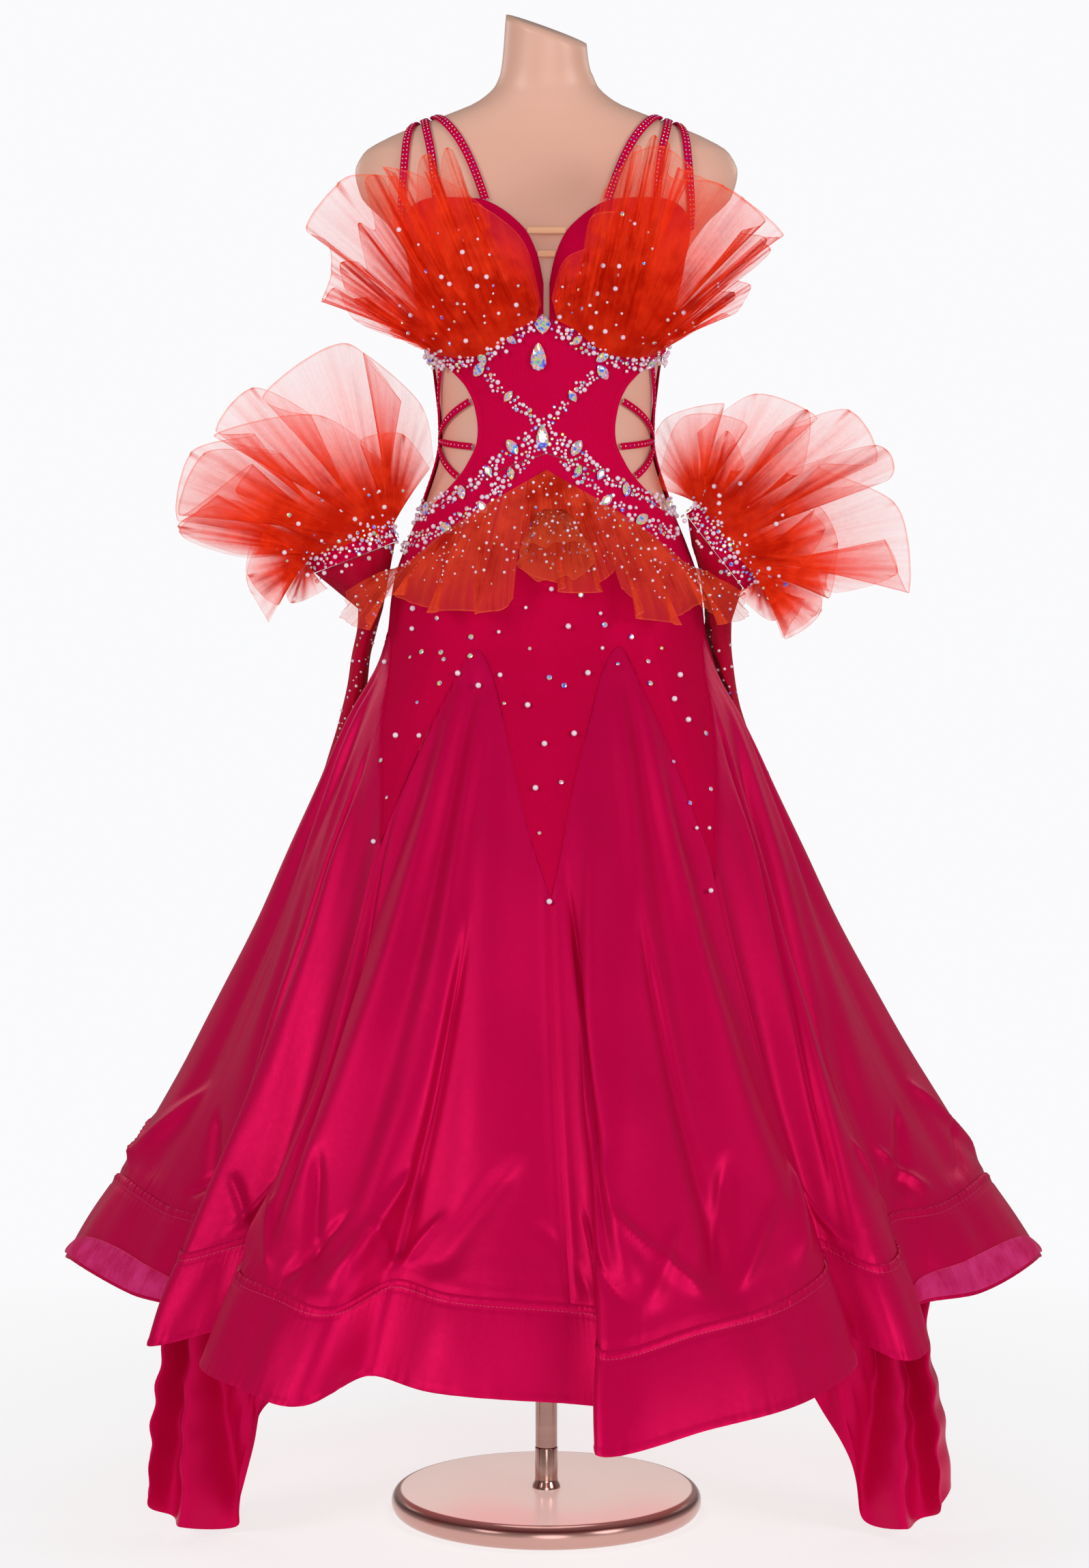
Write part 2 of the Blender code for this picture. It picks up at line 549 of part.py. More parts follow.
def turned(name, profile, finish, sides):
    """A turned piece from a profile of (radius, height), top to bottom."""
    shape = bmesh.new()
    corners = [shape.verts.new((radius, 0, height)) for radius, height in profile]
    for start, end in zip(corners, corners[1:]):
        shape.edges.new((start, end))
    piece = add_piece(name, shape, finish)
    spin = piece.modifiers.new("turn", "SCREW")
    spin.steps = spin.render_steps = sides
    spin.use_merge_vertices = True
    spin.merge_threshold = 0.0001
    return piece


# The dress form and its stand


def build_form():
    heights = [row.height for row in FORM_SECTIONS]
    middles = [(a + b) / 2 for a, b in zip(heights, heights[1:]) if b - a > 0.045]
    rings = sorted(heights + middles)
    around = np.concatenate([np.linspace(-72, 72, 15), np.linspace(72, 288, 13)[1:]])
    shape = bmesh.new()
    bmesh.ops.create_grid(shape, x_segments=len(around) - 1, y_segments=len(rings) - 1, size=0.5)
    for vertex in shape.verts:
        azimuth = around[round((vertex.co.x + 0.5) * (len(around) - 1))]
        height = rings[round((vertex.co.y + 0.5) * (len(rings) - 1))]
        vertex.co = form_surface(np.array(azimuth), np.array(height))
    bmesh.ops.remove_doubles(shape, verts=shape.verts, dist=1e-6)
    bmesh.ops.holes_fill(shape, edges=shape.edges, sides=0)
    bmesh.ops.recalc_face_normals(shape, faces=shape.faces)
    return add_piece("form_torso", shape, "form_shell")


def build_stand():
    edge = BASE_THICKNESS / 2
    rim = [
        (BASE_RADIUS - edge * (1 - math.sin(math.radians(a))) * 0.8,
         edge + edge * math.cos(math.radians(a)))
        for a in (0, 25, 50, 75, 105, 140)
    ]
    turned("base_disc", [(0, BASE_THICKNESS), *rim, (BASE_RADIUS - edge * 0.8, 0.0), (0, 0)],
           "rose_metal", 32)
    socket_foot = BASE_THICKNESS + SEAM_GAP
    socket_top = socket_foot + SOCKET_HEIGHT
    turned("pole_socket",
           [(0, socket_top), (POLE_RADIUS + 0.0004, socket_top),
            (POLE_RADIUS + 0.0004, socket_foot + 0.008), (POLE_RADIUS + 0.0035, socket_foot),
            (0, socket_foot)], "rose_metal", 24)
    pole_foot = socket_top + SEAM_GAP
    pole_top = FORM_SECTIONS[0].height - SEAM_GAP
    turned("pole", [(0, pole_top), (POLE_RADIUS, pole_top), (POLE_RADIUS, pole_foot), (0, pole_foot)],
           "rose_metal", 24)


# The bodice


CUP_COLUMNS = np.concatenate([np.linspace(CUP_START, 12, 4), np.linspace(12, CUP_END, 10)[1:]])


def build_cups():
    rows = np.linspace(0, 1, 8)

    for name, side in (("cup_left", -1), ("cup_right", 1)):
        def place(azimuth, up):
            foot = edge_height(UNDER_BUST, azimuth) + SEAM_GAP
            top = edge_height(CUP_TOP, azimuth)
            padding = CUP_PADDING * np.minimum(up * 3, 1)
            return off_form(azimuth, foot + (top - foot) * up, CLEAR_OF_FORM + padding)

        cloth(name, place, side * CUP_COLUMNS[::side], rows, "jersey", JERSEY_WALL)


def build_front_panel():
    def place(share, up):
        down = 1 - up
        azimuth = share * smooth(FRONT_PANEL_SIDE, "half_angle", down)
        top = edge_height(UNDER_BUST, azimuth) - SEAM_GAP
        foot = edge_height(HIP_SEAM, azimuth) + SEAM_GAP
        return off_form(azimuth, foot + (top - foot) * up, CLEAR_OF_FORM + 0 * up)

    cloth("front_panel", place, FRONT_PANEL_LINES, FRONT_PANEL_ROWS, "jersey", JERSEY_WALL)


def build_back():
    def band_place(azimuth, up):
        foot, top = edge_height(UNDER_BUST, azimuth), edge_height(CUP_TOP, azimuth)
        return off_form(azimuth, foot + (top - foot) * up, CLEAR_OF_FORM + 0 * up)

    cloth("back_band", band_place, np.linspace(BACK_BAND_START, 360 - BACK_BAND_START, 17),
          np.linspace(0, 1, 3), "jersey", JERSEY_WALL)

    def panel_place(share, up):
        azimuth = 180 + share * smooth(BACK_PANEL_SIDE, "half_angle", 1 - up)
        top = edge_height(UNDER_BUST, azimuth) - SEAM_GAP
        foot = edge_height(HIP_SEAM, azimuth) + SEAM_GAP
        return off_form(azimuth, foot + (top - foot) * up, CLEAR_OF_FORM + 0 * up)

    cloth("back_panel", panel_place, np.linspace(-1, 1, 15), np.linspace(0, 1, 6), "jersey", JERSEY_WALL)


def panel_edge(height):
    """The front panel's side edge, as an azimuth at a height."""
    down = np.linspace(0, 1, 60)
    azimuth = smooth(FRONT_PANEL_SIDE, "half_angle", down)
    top, foot = edge_height(UNDER_BUST, azimuth), edge_height(HIP_SEAM, azimuth)
    return np.interp(-height, -(top + (foot - top) * down), azimuth)


def build_lattice():
    """Five narrow straps and a knot in each side opening."""
    for side_name, side in (("left", -1), ("right", 1)):
        centre, normal = form_route([LATTICE_KNOT.azimuth * side], [LATTICE_KNOT.height], CLEAR_OF_FORM)
        shape = bmesh.new()
        bmesh.ops.create_cone(shape, cap_ends=True, segments=12, radius1=KNOT_RADIUS,
                              radius2=KNOT_RADIUS * 0.8, depth=STRAP_WALL)
        knot = add_piece(f"lattice_{side_name}_knot", shape, "jersey")
        knot.location = centre[0] + normal[0] * (STRAP_WALL / 2 + SEAM_GAP)
        knot.rotation_euler = (math.radians(90), 0, math.radians(LATTICE_KNOT.azimuth * side))
        for ray in LATTICE_RAYS:
            share = np.linspace(0, 1 if ray.name == "down" else 1.15, 200)
            azimuths = LATTICE_KNOT.azimuth + (ray.azimuth - LATTICE_KNOT.azimuth) * share
            heights = LATTICE_KNOT.height + (ray.height - LATTICE_KNOT.height) * share
            points, normals = form_route(side * azimuths, heights, CLEAR_OF_FORM)
            away = np.linalg.norm(points - centre, axis=1)
            along = np.gradient(points, axis=0)
            across = np.cross(along, normals)
            across *= LATTICE_WIDTH / 2 / np.linalg.norm(across, axis=1, keepdims=True)
            room = np.ones_like(share, bool)
            for edge in (points - across, points + across):
                turn = np.degrees(np.arcsin(np.clip(
                    np.abs(edge[:, 0]) / (smooth(FORM_SECTIONS, "half_width", edge[:, 2]) + CLEAR_OF_FORM),
                    0, 1)))
                room &= (turn > panel_edge(edge[:, 2]) + LATTICE_GAP) | (turn > 80)
            last = len(share) - 1 if room.all() else int(np.argmin(room)) - 1
            first = int(np.argmax(away > RAY_START))
            pick = np.rint(np.linspace(first, last, 8)).astype(int)
            widths = np.minimum(away[pick] * RAY_SPREAD, LATTICE_WIDTH)
            ribbon(f"lattice_{side_name}_{ray.name}", points[pick], normals[pick], widths, "jersey",
                   STRAP_WALL)


def ridge_height(x):
    """The height of the shoulder's ridge at a distance from the centre."""
    heights = np.linspace(1.43, 1.53, 400)
    widths = smooth(FORM_SECTIONS, "half_width", heights)
    return float(heights[np.argmin(np.abs(widths - x))])


def strap_half(end_x, ridge_x, ahead, steps):
    """Azimuths and heights of one half of a strap, from just above the cloth up to the ridge."""
    end_height = 1.35
    for _ in range(6):
        width = float(smooth(FORM_SECTIONS, "half_width", end_height))
        turns = np.degrees(np.arcsin((end_x + np.array((-0.6, 0, 0.6)) * STRAP_WIDTH) / width))
        end_height = float(np.max(edge_height(CUP_TOP, turns if ahead else 180 - turns)))
        end_height += SEAM_GAP * (2 if ahead else 3)
    top = ridge_height(ridge_x)
    share = np.linspace(0, 1, steps)
    heights = top - (top - end_height) * (1 - share) ** 2
    x = end_x + (ridge_x - end_x) * share
    turns = np.degrees(np.arcsin(np.clip(x / smooth(FORM_SECTIONS, "half_width", heights), 0, 1)))
    return (turns if ahead else 180 - turns), heights


def build_straps():
    for side_name, side in (("left", -1), ("right", 1)):
        for strap in STRAPS:
            ridge_x = SHOULDER_X + strap.order * STRAP_PITCH
            front_turn, front_up = strap_half(strap.front_x, ridge_x, True, 10)
            back_turn, back_up = strap_half(strap.back_x, ridge_x, False, 10)
            azimuths = np.concatenate([front_turn, back_turn[-2::-1]])
            heights = np.concatenate([front_up, back_up[-2::-1]])
            points, normals = form_route(side * azimuths, heights, CLEAR_OF_SHOULDER)
            ribbon(f"strap_{side_name}_{strap.name}", points, normals, STRAP_WIDTH, "jersey", STRAP_WALL)


def build_neck_bars():
    """Two elastics straight across the neckline, between the cups' edges."""
    neckline = off_form(CUP_COLUMNS, edge_height(CUP_TOP, CUP_COLUMNS), CLEAR_OF_FORM + CUP_PADDING)[:5]
    for name, height in NECK_BARS.items():
        foot = height - NECK_BAR_WIDTH / 2
        reach = np.interp(foot, neckline[:, 2], neckline[:, 0]) - 2 * SEAM_GAP
        end = np.array((reach, np.interp(height, neckline[:, 2], neckline[:, 1]), height))
        points = np.linspace(end * (-1, 1, 1), end, 5)
        normals = np.tile((0.0, -1.0, 0.0), (5, 1))
        ribbon(name, points, normals, NECK_BAR_WIDTH, "nude_elastic", JERSEY_WALL)


def build_stones():
    """Faceted stones, each seated on the highest point of the cloth below it."""
    for stone in STONES:
        shape = bmesh.new()
        bmesh.ops.create_cone(shape, cap_ends=True, segments=8, radius1=1.0, radius2=0.45, depth=1.0)
        piece = add_piece(stone.name, shape, "crystal")
        piece.scale = (stone.half_across, stone.half_down, stone.rise)
        cloth_out = CLEAR_OF_FORM + JERSEY_WALL
        heights = stone.height + stone.half_down * np.linspace(-1, 1, 9)
        turns = np.linspace(-6, 6, 7)
        under = off_form(*np.meshgrid(turns, heights), cloth_out)
        lean = math.atan2(under[0, 3, 1] - under[-1, 3, 1], 2 * stone.half_down)
        normal = np.array((0, -math.cos(lean), -math.sin(lean)))
        centre = under[4, 3]
        reach = np.max((under - centre) @ normal) + STONE_GAP + stone.rise / 2
        piece.location = centre + normal * reach
        piece.rotation_euler = (math.radians(90) + lean, 0, 0)


# The skirt


def godet_seams(godet):
    """A godet's seams and apex in degrees, from one seam on past 360 if it must."""
    start, end = SEAMS[godet.from_seam], SEAMS[godet.to_seam]
    finish = end.azimuth if end.azimuth > start.azimuth else end.azimuth + 360
    return start, godet.apex, finish, end


def godet_columns(godet):
    """The cloth's own lines across a godet: its ends and apex, each fold, the middle of each wide one."""
    start, apex, finish, _ = godet_seams(godet)
    folds = [row.seam + turn for turn in (0, 360) for row in HEM_FOLDS]
    folds = [seam for seam in folds if start.azimuth + 1.5 < seam < finish - 1.5 and abs(seam - apex) > 1.5]
    lines = sorted([start.azimuth, apex, finish, *folds])
    middles = [(a + b) / 2 for a, b in zip(lines, lines[1:]) if b - a > WIDE_FOLD]
    return np.array(sorted(lines + middles), float)


def arch_height(seam):
    """The height of the seam between the jersey and the satin."""
    seam = np.mod(np.asarray(seam, float), 360.0)
    height = np.zeros_like(seam)
    for godet in GODETS:
        start, apex, finish, end = godet_seams(godet)
        inside = (seam >= start.azimuth) & (seam <= finish)
        before = np.clip((apex - seam) / (apex - start.azimuth), 0, 1)
        after = np.clip((seam - apex) / (finish - apex), 0, 1)
        drop = np.where(seam < apex, before, after) ** ARCH_POWER
        low = np.where(seam < apex, start.height, end.height)
        height = np.where(inside, godet.apex_height - (godet.apex_height - low) * drop, height)
    return height


def build_yoke():
    def place(seam, up):
        foot = arch_height(seam) + ARCH_GAP / 2
        top = edge_height(HIP_SEAM, seam) - SEAM_GAP
        return skirt_surface(seam, foot + (top - foot) * up)

    around = np.unique(np.concatenate([godet_columns(godet) for godet in GODETS]))
    front = np.concatenate([around[around >= 280], around[(around > 0) & (around <= 80)] + 360])
    back = around[(around >= 80) & (around <= 280)]
    side_gap = 0.05
    front[0], front[-1] = front[0] + side_gap, front[-1] - side_gap
    back[0], back[-1] = back[0] + side_gap, back[-1] - side_gap
    for name, columns in (("yoke_front", front), ("yoke_back", back)):
        cloth(name, place, columns, np.linspace(0, 1, 6), "jersey", JERSEY_WALL)


def band_top(seam):
    return round_the_hem("height", seam) + HEM_BAND_HEIGHT


def build_godets():
    for godet in GODETS:
        start, _, finish, _ = godet_seams(godet)
        middle = (start.azimuth + finish) / 2

        def place(seam, up, middle=middle):
            top = arch_height(seam) - ARCH_GAP / 2
            foot = band_top(seam) + HEM_GAP / 2
            height = foot + (top - foot) * up
            inset = np.degrees(SEAM_GAP * 0.75 / smooth(SKIRT_SECTIONS, "half_width", height))
            return skirt_surface(seam + np.sign(middle - seam) * inset, height)

        cloth(godet.name, place, godet_columns(godet), np.linspace(0, 1, 8), "satin", SATIN_WALL)


def build_hem_band():
    around = np.unique(np.concatenate([godet_columns(godet) for godet in GODETS]))
    halves = {
        "hem_band_front": np.concatenate([around[around >= 240],
                                          around[(around > 0) & (around <= 120)] + 360]),
        "hem_band_back": around[(around >= 120) & (around <= 240)],
    }
    for name, columns in halves.items():
        columns = columns.copy()
        columns[0], columns[-1] = columns[0] + 0.03, columns[-1] - 0.03

        def place(seam, up):
            foot = round_the_hem("height", seam)
            return skirt_surface(seam, foot + (band_top(seam) - HEM_GAP / 2 - foot) * up)

        cloth(name, place, columns, np.linspace(0, 1, 2), "satin", HEM_WALL)


def build_floats():
    for name, feet in FLOAT_FEET.items():
        seats = [skirt_surface(seat.seam, seat.height) for seat in FLOAT_SEATS[name]]
        seats = [seat * (1 - FLOAT_GAP / np.hypot(seat[0], seat[1]) * np.array((1, 1, 0)))
                 for seat in seats]

        def place(share, up, feet=feet, seats=seats):
            share, hang = share[:, None], (1 - up)[:, None]
            top = seats[0] + (seats[1] - seats[0]) * share
            middle = (seats[0] + seats[1]) * (1, 1, 0)
            top = top - middle / np.linalg.norm(middle) * FLOAT_SAG * np.sin(np.pi * share)
            foot = flowing(feet, share[:, 0])
            point = top + (foot - top) * hang
            swing = np.minimum(hang * 2.2, 1) ** 0.8
            point[:, :2] = top[:, :2] + (foot[:, :2] - top[:, :2]) * swing
            return point

        columns = fold_columns(feet)
        cloth(name, place, columns[::-1] if name == "float_left" else columns, np.linspace(0, 1, 6),
              "satin", SATIN_WALL)


# Ruffles and gauntlets


def clear_of(surface, points, out):
    """Points moved away from the body's axis until they are clear of a surface."""
    azimuth = np.degrees(np.arctan2(points[:, 0], -points[:, 1]))
    for _ in range(4):
        skin = surface(azimuth, points[:, 2])
        skin_azimuth = np.degrees(np.arctan2(skin[:, 0], -skin[:, 1]))
        gap = np.degrees(np.arctan2(points[:, 0], -points[:, 1])) - skin_azimuth
        azimuth = azimuth + np.mod(gap + 180, 360) - 180
    reach = np.hypot(points[:, 0], points[:, 1])
    least = np.hypot(skin[:, 0], skin[:, 1]) + out
    grow = np.maximum(least / np.maximum(reach, 1e-6), 1)
    return points * np.stack([grow, grow, np.ones_like(grow)], -1)


def fold_line(rows, column, share, closed=False):
    """One column of a ruffle's folds, read at a share of the way along."""
    wrap = 2 if closed else 0
    padded = rows[-wrap:] + rows + rows[:wrap + 1] if closed else rows
    Knot = namedtuple("Knot", "place value")
    knots = [Knot(i - wrap, getattr(row, column)) for i, row in enumerate(padded)]
    spans = len(rows) if closed else len(rows) - 1
    return smooth(knots, "value", np.asarray(share) * spans)


def fold_mean(rows, column, share, closed=False):
    """The same column with its folds ironed out."""
    step = 1.0 / (len(rows) if closed else len(rows) - 1)
    turn = (lambda at: np.mod(at, 1.0)) if closed else (lambda at: np.clip(at, 0, 1))
    around = [fold_line(rows, column, turn(share + k * step), closed) for k in (-1, 0, 1)]
    return (around[0] + 2 * around[1] + around[2]) / 4


def fold_columns(rows, closed=False):
    """Two lines of cloth to each row, on the flanks of the folds, so that no fold comes to a knife edge."""
    spans = len(rows) if closed else len(rows) - 1
    flanks = (np.arange(2 * spans + closed) / 2 + 0.25) / spans
    return flanks if closed else np.array([0.0, *flanks[1:-1], 1.0])


def fan_point(start, folds, centre, side, share, out, closed=False):
    """A fan's surface: out is 0 at its gather and 1 at its free edge, where the folds are full."""
    turn = np.radians(fold_line(folds, "turn", share, closed))
    reach = fold_line(folds, "reach", share, closed)
    y, mean_y = fold_line(folds, "y", share, closed), fold_mean(folds, "y", share, closed)
    free_x = side * (centre[0] + reach * np.sin(turn))
    free_z = centre[1] + reach * np.cos(turn)
    point = start.copy()
    point[:, 0] += (free_x - start[:, 0]) * out
    point[:, 1] += (mean_y - start[:, 1]) * out + (y - mean_y) * out**FOLD_POWER
    point[:, 2] += (free_z - start[:, 2]) * out
    return point


def build_bust_fans():
    lift = CLEAR_OF_FORM + JERSEY_WALL + GATHER_GAP
    for name, side, folds in (("bust_fan_left", -1, BUST_FAN_LEFT), ("bust_fan_right", 1, BUST_FAN_RIGHT)):
        def place(share, out, folds=folds, side=side):
            azimuth = side * (BUST_GATHER[0] + (BUST_GATHER[1] - BUST_GATHER[0]) * share)
            start = off_form(azimuth, edge_height(UNDER_BUST, azimuth) + 0.004, lift + 0 * share)
            point = fan_point(start, folds, BUST_FAN_CENTRE, side, share, out)
            swell = np.sin(np.pi * out)
            point[:, 0] += 0.010 * side * share * swell
            point[:, 1] -= 0.030 * swell
            return clear_of(form_surface, point, lift + 0.004 * np.minimum(out * 6, 1))

        cloth(name, place, fold_columns(folds)[::side], FAN_OUT, "crin", CRIN_WALL)


def cuff_point(cuff, turn, along, out):
    """A point on a cuff: turn is 0 at its inner end, 90 at the front and 180 at its outer end."""
    lean, angle = math.radians(cuff.lean), np.radians(turn)
    length = (cuff.half_length + out) * -np.cos(angle)
    x = cuff.x + length * math.cos(lean) + along * math.sin(lean)
    z = cuff.height - length * math.sin(lean) + along * math.cos(lean)
    return np.stack([cuff.side * x, cuff.y - (cuff.half_depth + out) * np.sin(angle), z], -1)


def build_cuffs():
    for name, cuff in CUFFS.items():
        def place(turn, up, cuff=cuff):
            return cuff_point(cuff, turn, CUFF_HEIGHT * (up - 0.5), 0.0)

        cloth(f"cuff_{name}", place, np.linspace(0, 360, 21)[::cuff.side], np.linspace(0, 1, 2), "jersey",
              CUFF_WALL, closed=True)


def build_arm_fans():
    for name, cuff, folds in (("arm_fan_left", CUFFS["left"], ARM_FAN_LEFT),
                              ("arm_fan_right", CUFFS["right"], ARM_FAN_RIGHT)):
        def place(share, out, folds=folds, cuff=cuff):
            share = np.mod(share, 1.0)
            front = cuff.front_share
            turn = np.where(share < front, 180 * share / front, 180 + 180 * (share - front) / (1 - front))
            level = np.full_like(share, 0.2 * CUFF_HEIGHT)
            swell = np.sin(np.pi * out)
            start = cuff_point(cuff, turn, level + 0.010 * swell, CUFF_WALL + GATHER_GAP + 0.012 * swell)
            point = fan_point(start, folds, (cuff.x, cuff.height), cuff.side, share, out, closed=True)
            return clear_of(skirt_surface, point, 0.004 + 0 * out)

        cloth(name, place, fold_columns(folds, True)[::cuff.side], SHORT_OUT, "crin", CRIN_WALL,
              closed=True)


def build_sleeves():
    """Sheer gauntlets: each opens wide below its cuff and hangs flat against the skirt."""
    for name, cuff in CUFFS.items():
        rows = SLEEVES[name]

        def place(turn, up, cuff=cuff, rows=rows):
            low = np.minimum(up / SLEEVE_TOP_SHARE, 1)
            height = rows[0].height + (rows[-1].height - rows[0].height) * low
            angle = np.radians(turn)
            x = smooth(rows, "x", height) - smooth(rows, "half_across", height) * np.cos(angle)
            y = smooth(rows, "y", height) - smooth(rows, "half_deep", height) * np.sin(angle)
            tube = np.stack([cuff.side * x, y, height], -1)
            rim = cuff_point(cuff, turn, np.full_like(up, -CUFF_HEIGHT / 2 - GATHER_GAP), -0.001)
            top = (np.clip(up - SLEEVE_TOP_SHARE, 0, 1) / (1 - SLEEVE_TOP_SHARE))[:, None]
            point = tube + (rim - tube) * top
            return clear_of(skirt_surface, point, SATIN_WALL + CRIN_WALL + cuff.sleeve_gap + 0 * up)

        up = np.array([*np.linspace(0, SLEEVE_TOP_SHARE, 6), 0.91, 0.955, 1.0])
        cloth(f"gauntlet_{name}", place, np.linspace(0, 360, 13)[::cuff.side], up, "sheer_mesh", CRIN_WALL,
              closed=True)


def build_peplum():
    lift = JERSEY_WALL + GATHER_GAP + SEAM_GAP
    for length in PEPLUM:
        def place(share, out, length=length):
            gather = length.start + (length.end - length.start) * share
            azimuth = gather + (fold_line(length.waves, "azimuth", share) - gather) * out
            start = edge_height(RUFFLE_LINE, gather)
            height = start + (fold_line(length.waves, "height", share) - start) * out
            off, mean = fold_line(length.waves, "off", share), fold_mean(length.waves, "off", share)
            off = lift + (mean - lift) * out**0.8 + (off - mean) * out**FOLD_POWER
            return off_surface(skirt_surface, azimuth, height, off)

        cloth(length.name, place, fold_columns(length.waves)[::-1], SHORT_OUT, "crin", CRIN_WALL)


clear_scene()
build_stand()
build_form()
build_cups()
build_front_panel()
build_back()
build_lattice()
build_straps()
build_neck_bars()
build_stones()
build_yoke()
build_godets()
build_hem_band()
build_floats()
build_bust_fans()
build_cuffs()
build_arm_fans()
build_sleeves()
build_peplum()
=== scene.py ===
# %% [markdown]
# A ballroom dance dress on a limbless dress form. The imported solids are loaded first, as a fixed frame:
# every visible piece below is laid on the solid of the same name, so nothing needs fitting by eye.
# Lengths are metres, the dress faces -Y, and an azimuth is in degrees round the body from the front.

import json
import math
from collections import namedtuple

import bmesh
import bpy
import numpy as np
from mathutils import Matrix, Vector

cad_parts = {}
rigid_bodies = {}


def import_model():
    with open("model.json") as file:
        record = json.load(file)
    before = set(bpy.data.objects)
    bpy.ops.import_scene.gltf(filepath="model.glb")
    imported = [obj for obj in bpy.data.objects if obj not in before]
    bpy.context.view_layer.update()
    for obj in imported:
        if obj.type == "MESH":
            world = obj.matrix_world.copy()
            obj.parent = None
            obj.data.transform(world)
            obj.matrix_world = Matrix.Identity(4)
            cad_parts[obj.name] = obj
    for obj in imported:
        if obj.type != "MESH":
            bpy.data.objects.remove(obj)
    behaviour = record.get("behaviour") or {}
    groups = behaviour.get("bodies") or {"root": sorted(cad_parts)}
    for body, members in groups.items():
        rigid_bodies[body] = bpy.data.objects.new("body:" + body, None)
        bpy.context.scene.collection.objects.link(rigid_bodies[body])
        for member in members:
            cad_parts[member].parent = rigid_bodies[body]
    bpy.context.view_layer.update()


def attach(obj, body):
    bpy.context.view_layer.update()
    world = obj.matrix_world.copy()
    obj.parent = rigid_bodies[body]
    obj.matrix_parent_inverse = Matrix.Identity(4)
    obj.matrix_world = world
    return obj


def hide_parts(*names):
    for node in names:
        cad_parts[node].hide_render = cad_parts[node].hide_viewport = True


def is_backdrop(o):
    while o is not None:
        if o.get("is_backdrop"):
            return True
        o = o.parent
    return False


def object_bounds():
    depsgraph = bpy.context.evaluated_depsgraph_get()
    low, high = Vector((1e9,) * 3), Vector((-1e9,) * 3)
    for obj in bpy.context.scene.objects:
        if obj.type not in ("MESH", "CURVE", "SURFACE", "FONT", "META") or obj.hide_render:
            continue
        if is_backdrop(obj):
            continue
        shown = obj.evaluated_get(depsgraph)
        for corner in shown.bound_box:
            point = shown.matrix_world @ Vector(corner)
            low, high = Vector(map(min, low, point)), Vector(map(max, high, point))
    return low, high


for leftover in list(bpy.data.objects):
    bpy.data.objects.remove(leftover)
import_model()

# %% [markdown]
# A studio shot of a dress uses a long lens a few metres away, so that the shoulders and the hem are drawn
# to one scale. The camera is level with the waist and tipped down a little.

# %% Camera
scene = bpy.context.scene
scene.view_settings.view_transform = "Standard"
lens = bpy.data.cameras.new("Long lens")
lens.lens = 95.9
lens.sensor_width = 36.0
camera = bpy.data.objects.new("Camera", lens)
camera.location = (-0.002, -4.4, 1.17)
camera.rotation_euler = (math.radians(90 - 5.02), 0, 0)
scene.collection.objects.link(camera)
scene.camera = camera
print("camera stands", abs(camera.location.y), "m off")

# %% [markdown]
# Materials here are small networks of nodes. Writing them as sums is shorter and easier to check than
# wiring them by hand, so one class wraps a value socket and lets Python's operators add the Math nodes.

# %% Sockets that do arithmetic
class Wire:
    """A value socket. Arithmetic on it adds Math nodes to the same finish."""

    def __init__(self, finish, socket):
        self.finish, self.socket = finish, socket

    def math(self, operation, *others, first=None):
        values = [self, *others] if first is None else [first, self, *others]
        return self.finish.node("ShaderNodeMath", {"operation": operation}, dict(enumerate(values)))

    def sine(self):
        return self.math("SINE")

    def size(self):
        return self.math("ABSOLUTE")

    def within(self, low, high):
        return self.math("MAXIMUM", low).math("MINIMUM", high)


# Each of Python's operators, and its reflected form, makes the Math node of the same meaning
for sign, operation in {"add": "ADD", "sub": "SUBTRACT", "mul": "MULTIPLY", "truediv": "DIVIDE",
                        "pow": "POWER"}.items():
    setattr(Wire, f"__{sign}__", lambda wire, other, how=operation: wire.math(how, other))
    setattr(Wire, f"__r{sign}__", lambda wire, other, how=operation: wire.math(how, first=other))

# %% A finish: one material and the one way to add a node to it
class Finish:
    """A material under construction. Constants go straight on its shader's own sockets."""

    def __init__(self, name, **constants):
        self.material = bpy.data.materials.new(name)
        self.material.use_nodes = True
        self.tree = self.material.node_tree
        self.shader = self.tree.nodes["Principled BSDF"]
        for socket, value in constants.items():
            self.shader.inputs[socket.replace("_", " ")].default_value = value

    def node(self, kind, settings=None, values=None, output=0):
        made = self.tree.nodes.new(kind)
        for name, value in (settings or {}).items():
            setattr(made, name, value)
        for name, value in (values or {}).items():
            if isinstance(value, Wire):
                self.tree.links.new(value.socket, made.inputs[name])
            else:
                made.inputs[name].default_value = value
        return Wire(self, made.outputs[output])

    def feed(self, **wires):
        for socket, wire in wires.items():
            self.tree.links.new(wire.socket, self.shader.inputs[socket.replace("_", " ")])

    def cut(self, axis=0, name="cut"):
        """Metres across (0) or down (1) the cut cloth."""
        flat = self.node("ShaderNodeUVMap", {"uv_map": name})
        return self.node("ShaderNodeSeparateXYZ", {}, {0: flat}, axis)

    def spot(self, axis=None):
        """The point itself, in metres, or one of its axes."""
        point = self.node("ShaderNodeTexCoord", {}, {}, "Object")
        return point if axis is None else self.node("ShaderNodeSeparateXYZ", {}, {0: point}, axis)

    def cloud(self, scale, detail=2.0, vector=None):
        """Soft noise from 0 to 1."""
        return self.node("ShaderNodeTexNoise", {},
                         {"Vector": vector or self.spot(), "Scale": scale, "Detail": detail})

    def mix(self, share, first, second):
        return self.node("ShaderNodeMix", {"data_type": "RGBA"}, {0: share, 6: first, 7: second}, 2)

    def bump(self, height, depth, strength):
        return self.node("ShaderNodeBump", {}, {"Height": height, "Distance": depth, "Strength": strength})


def rgb(red, green, blue):
    return (red, green, blue, 1.0)


print("shader kit ready")

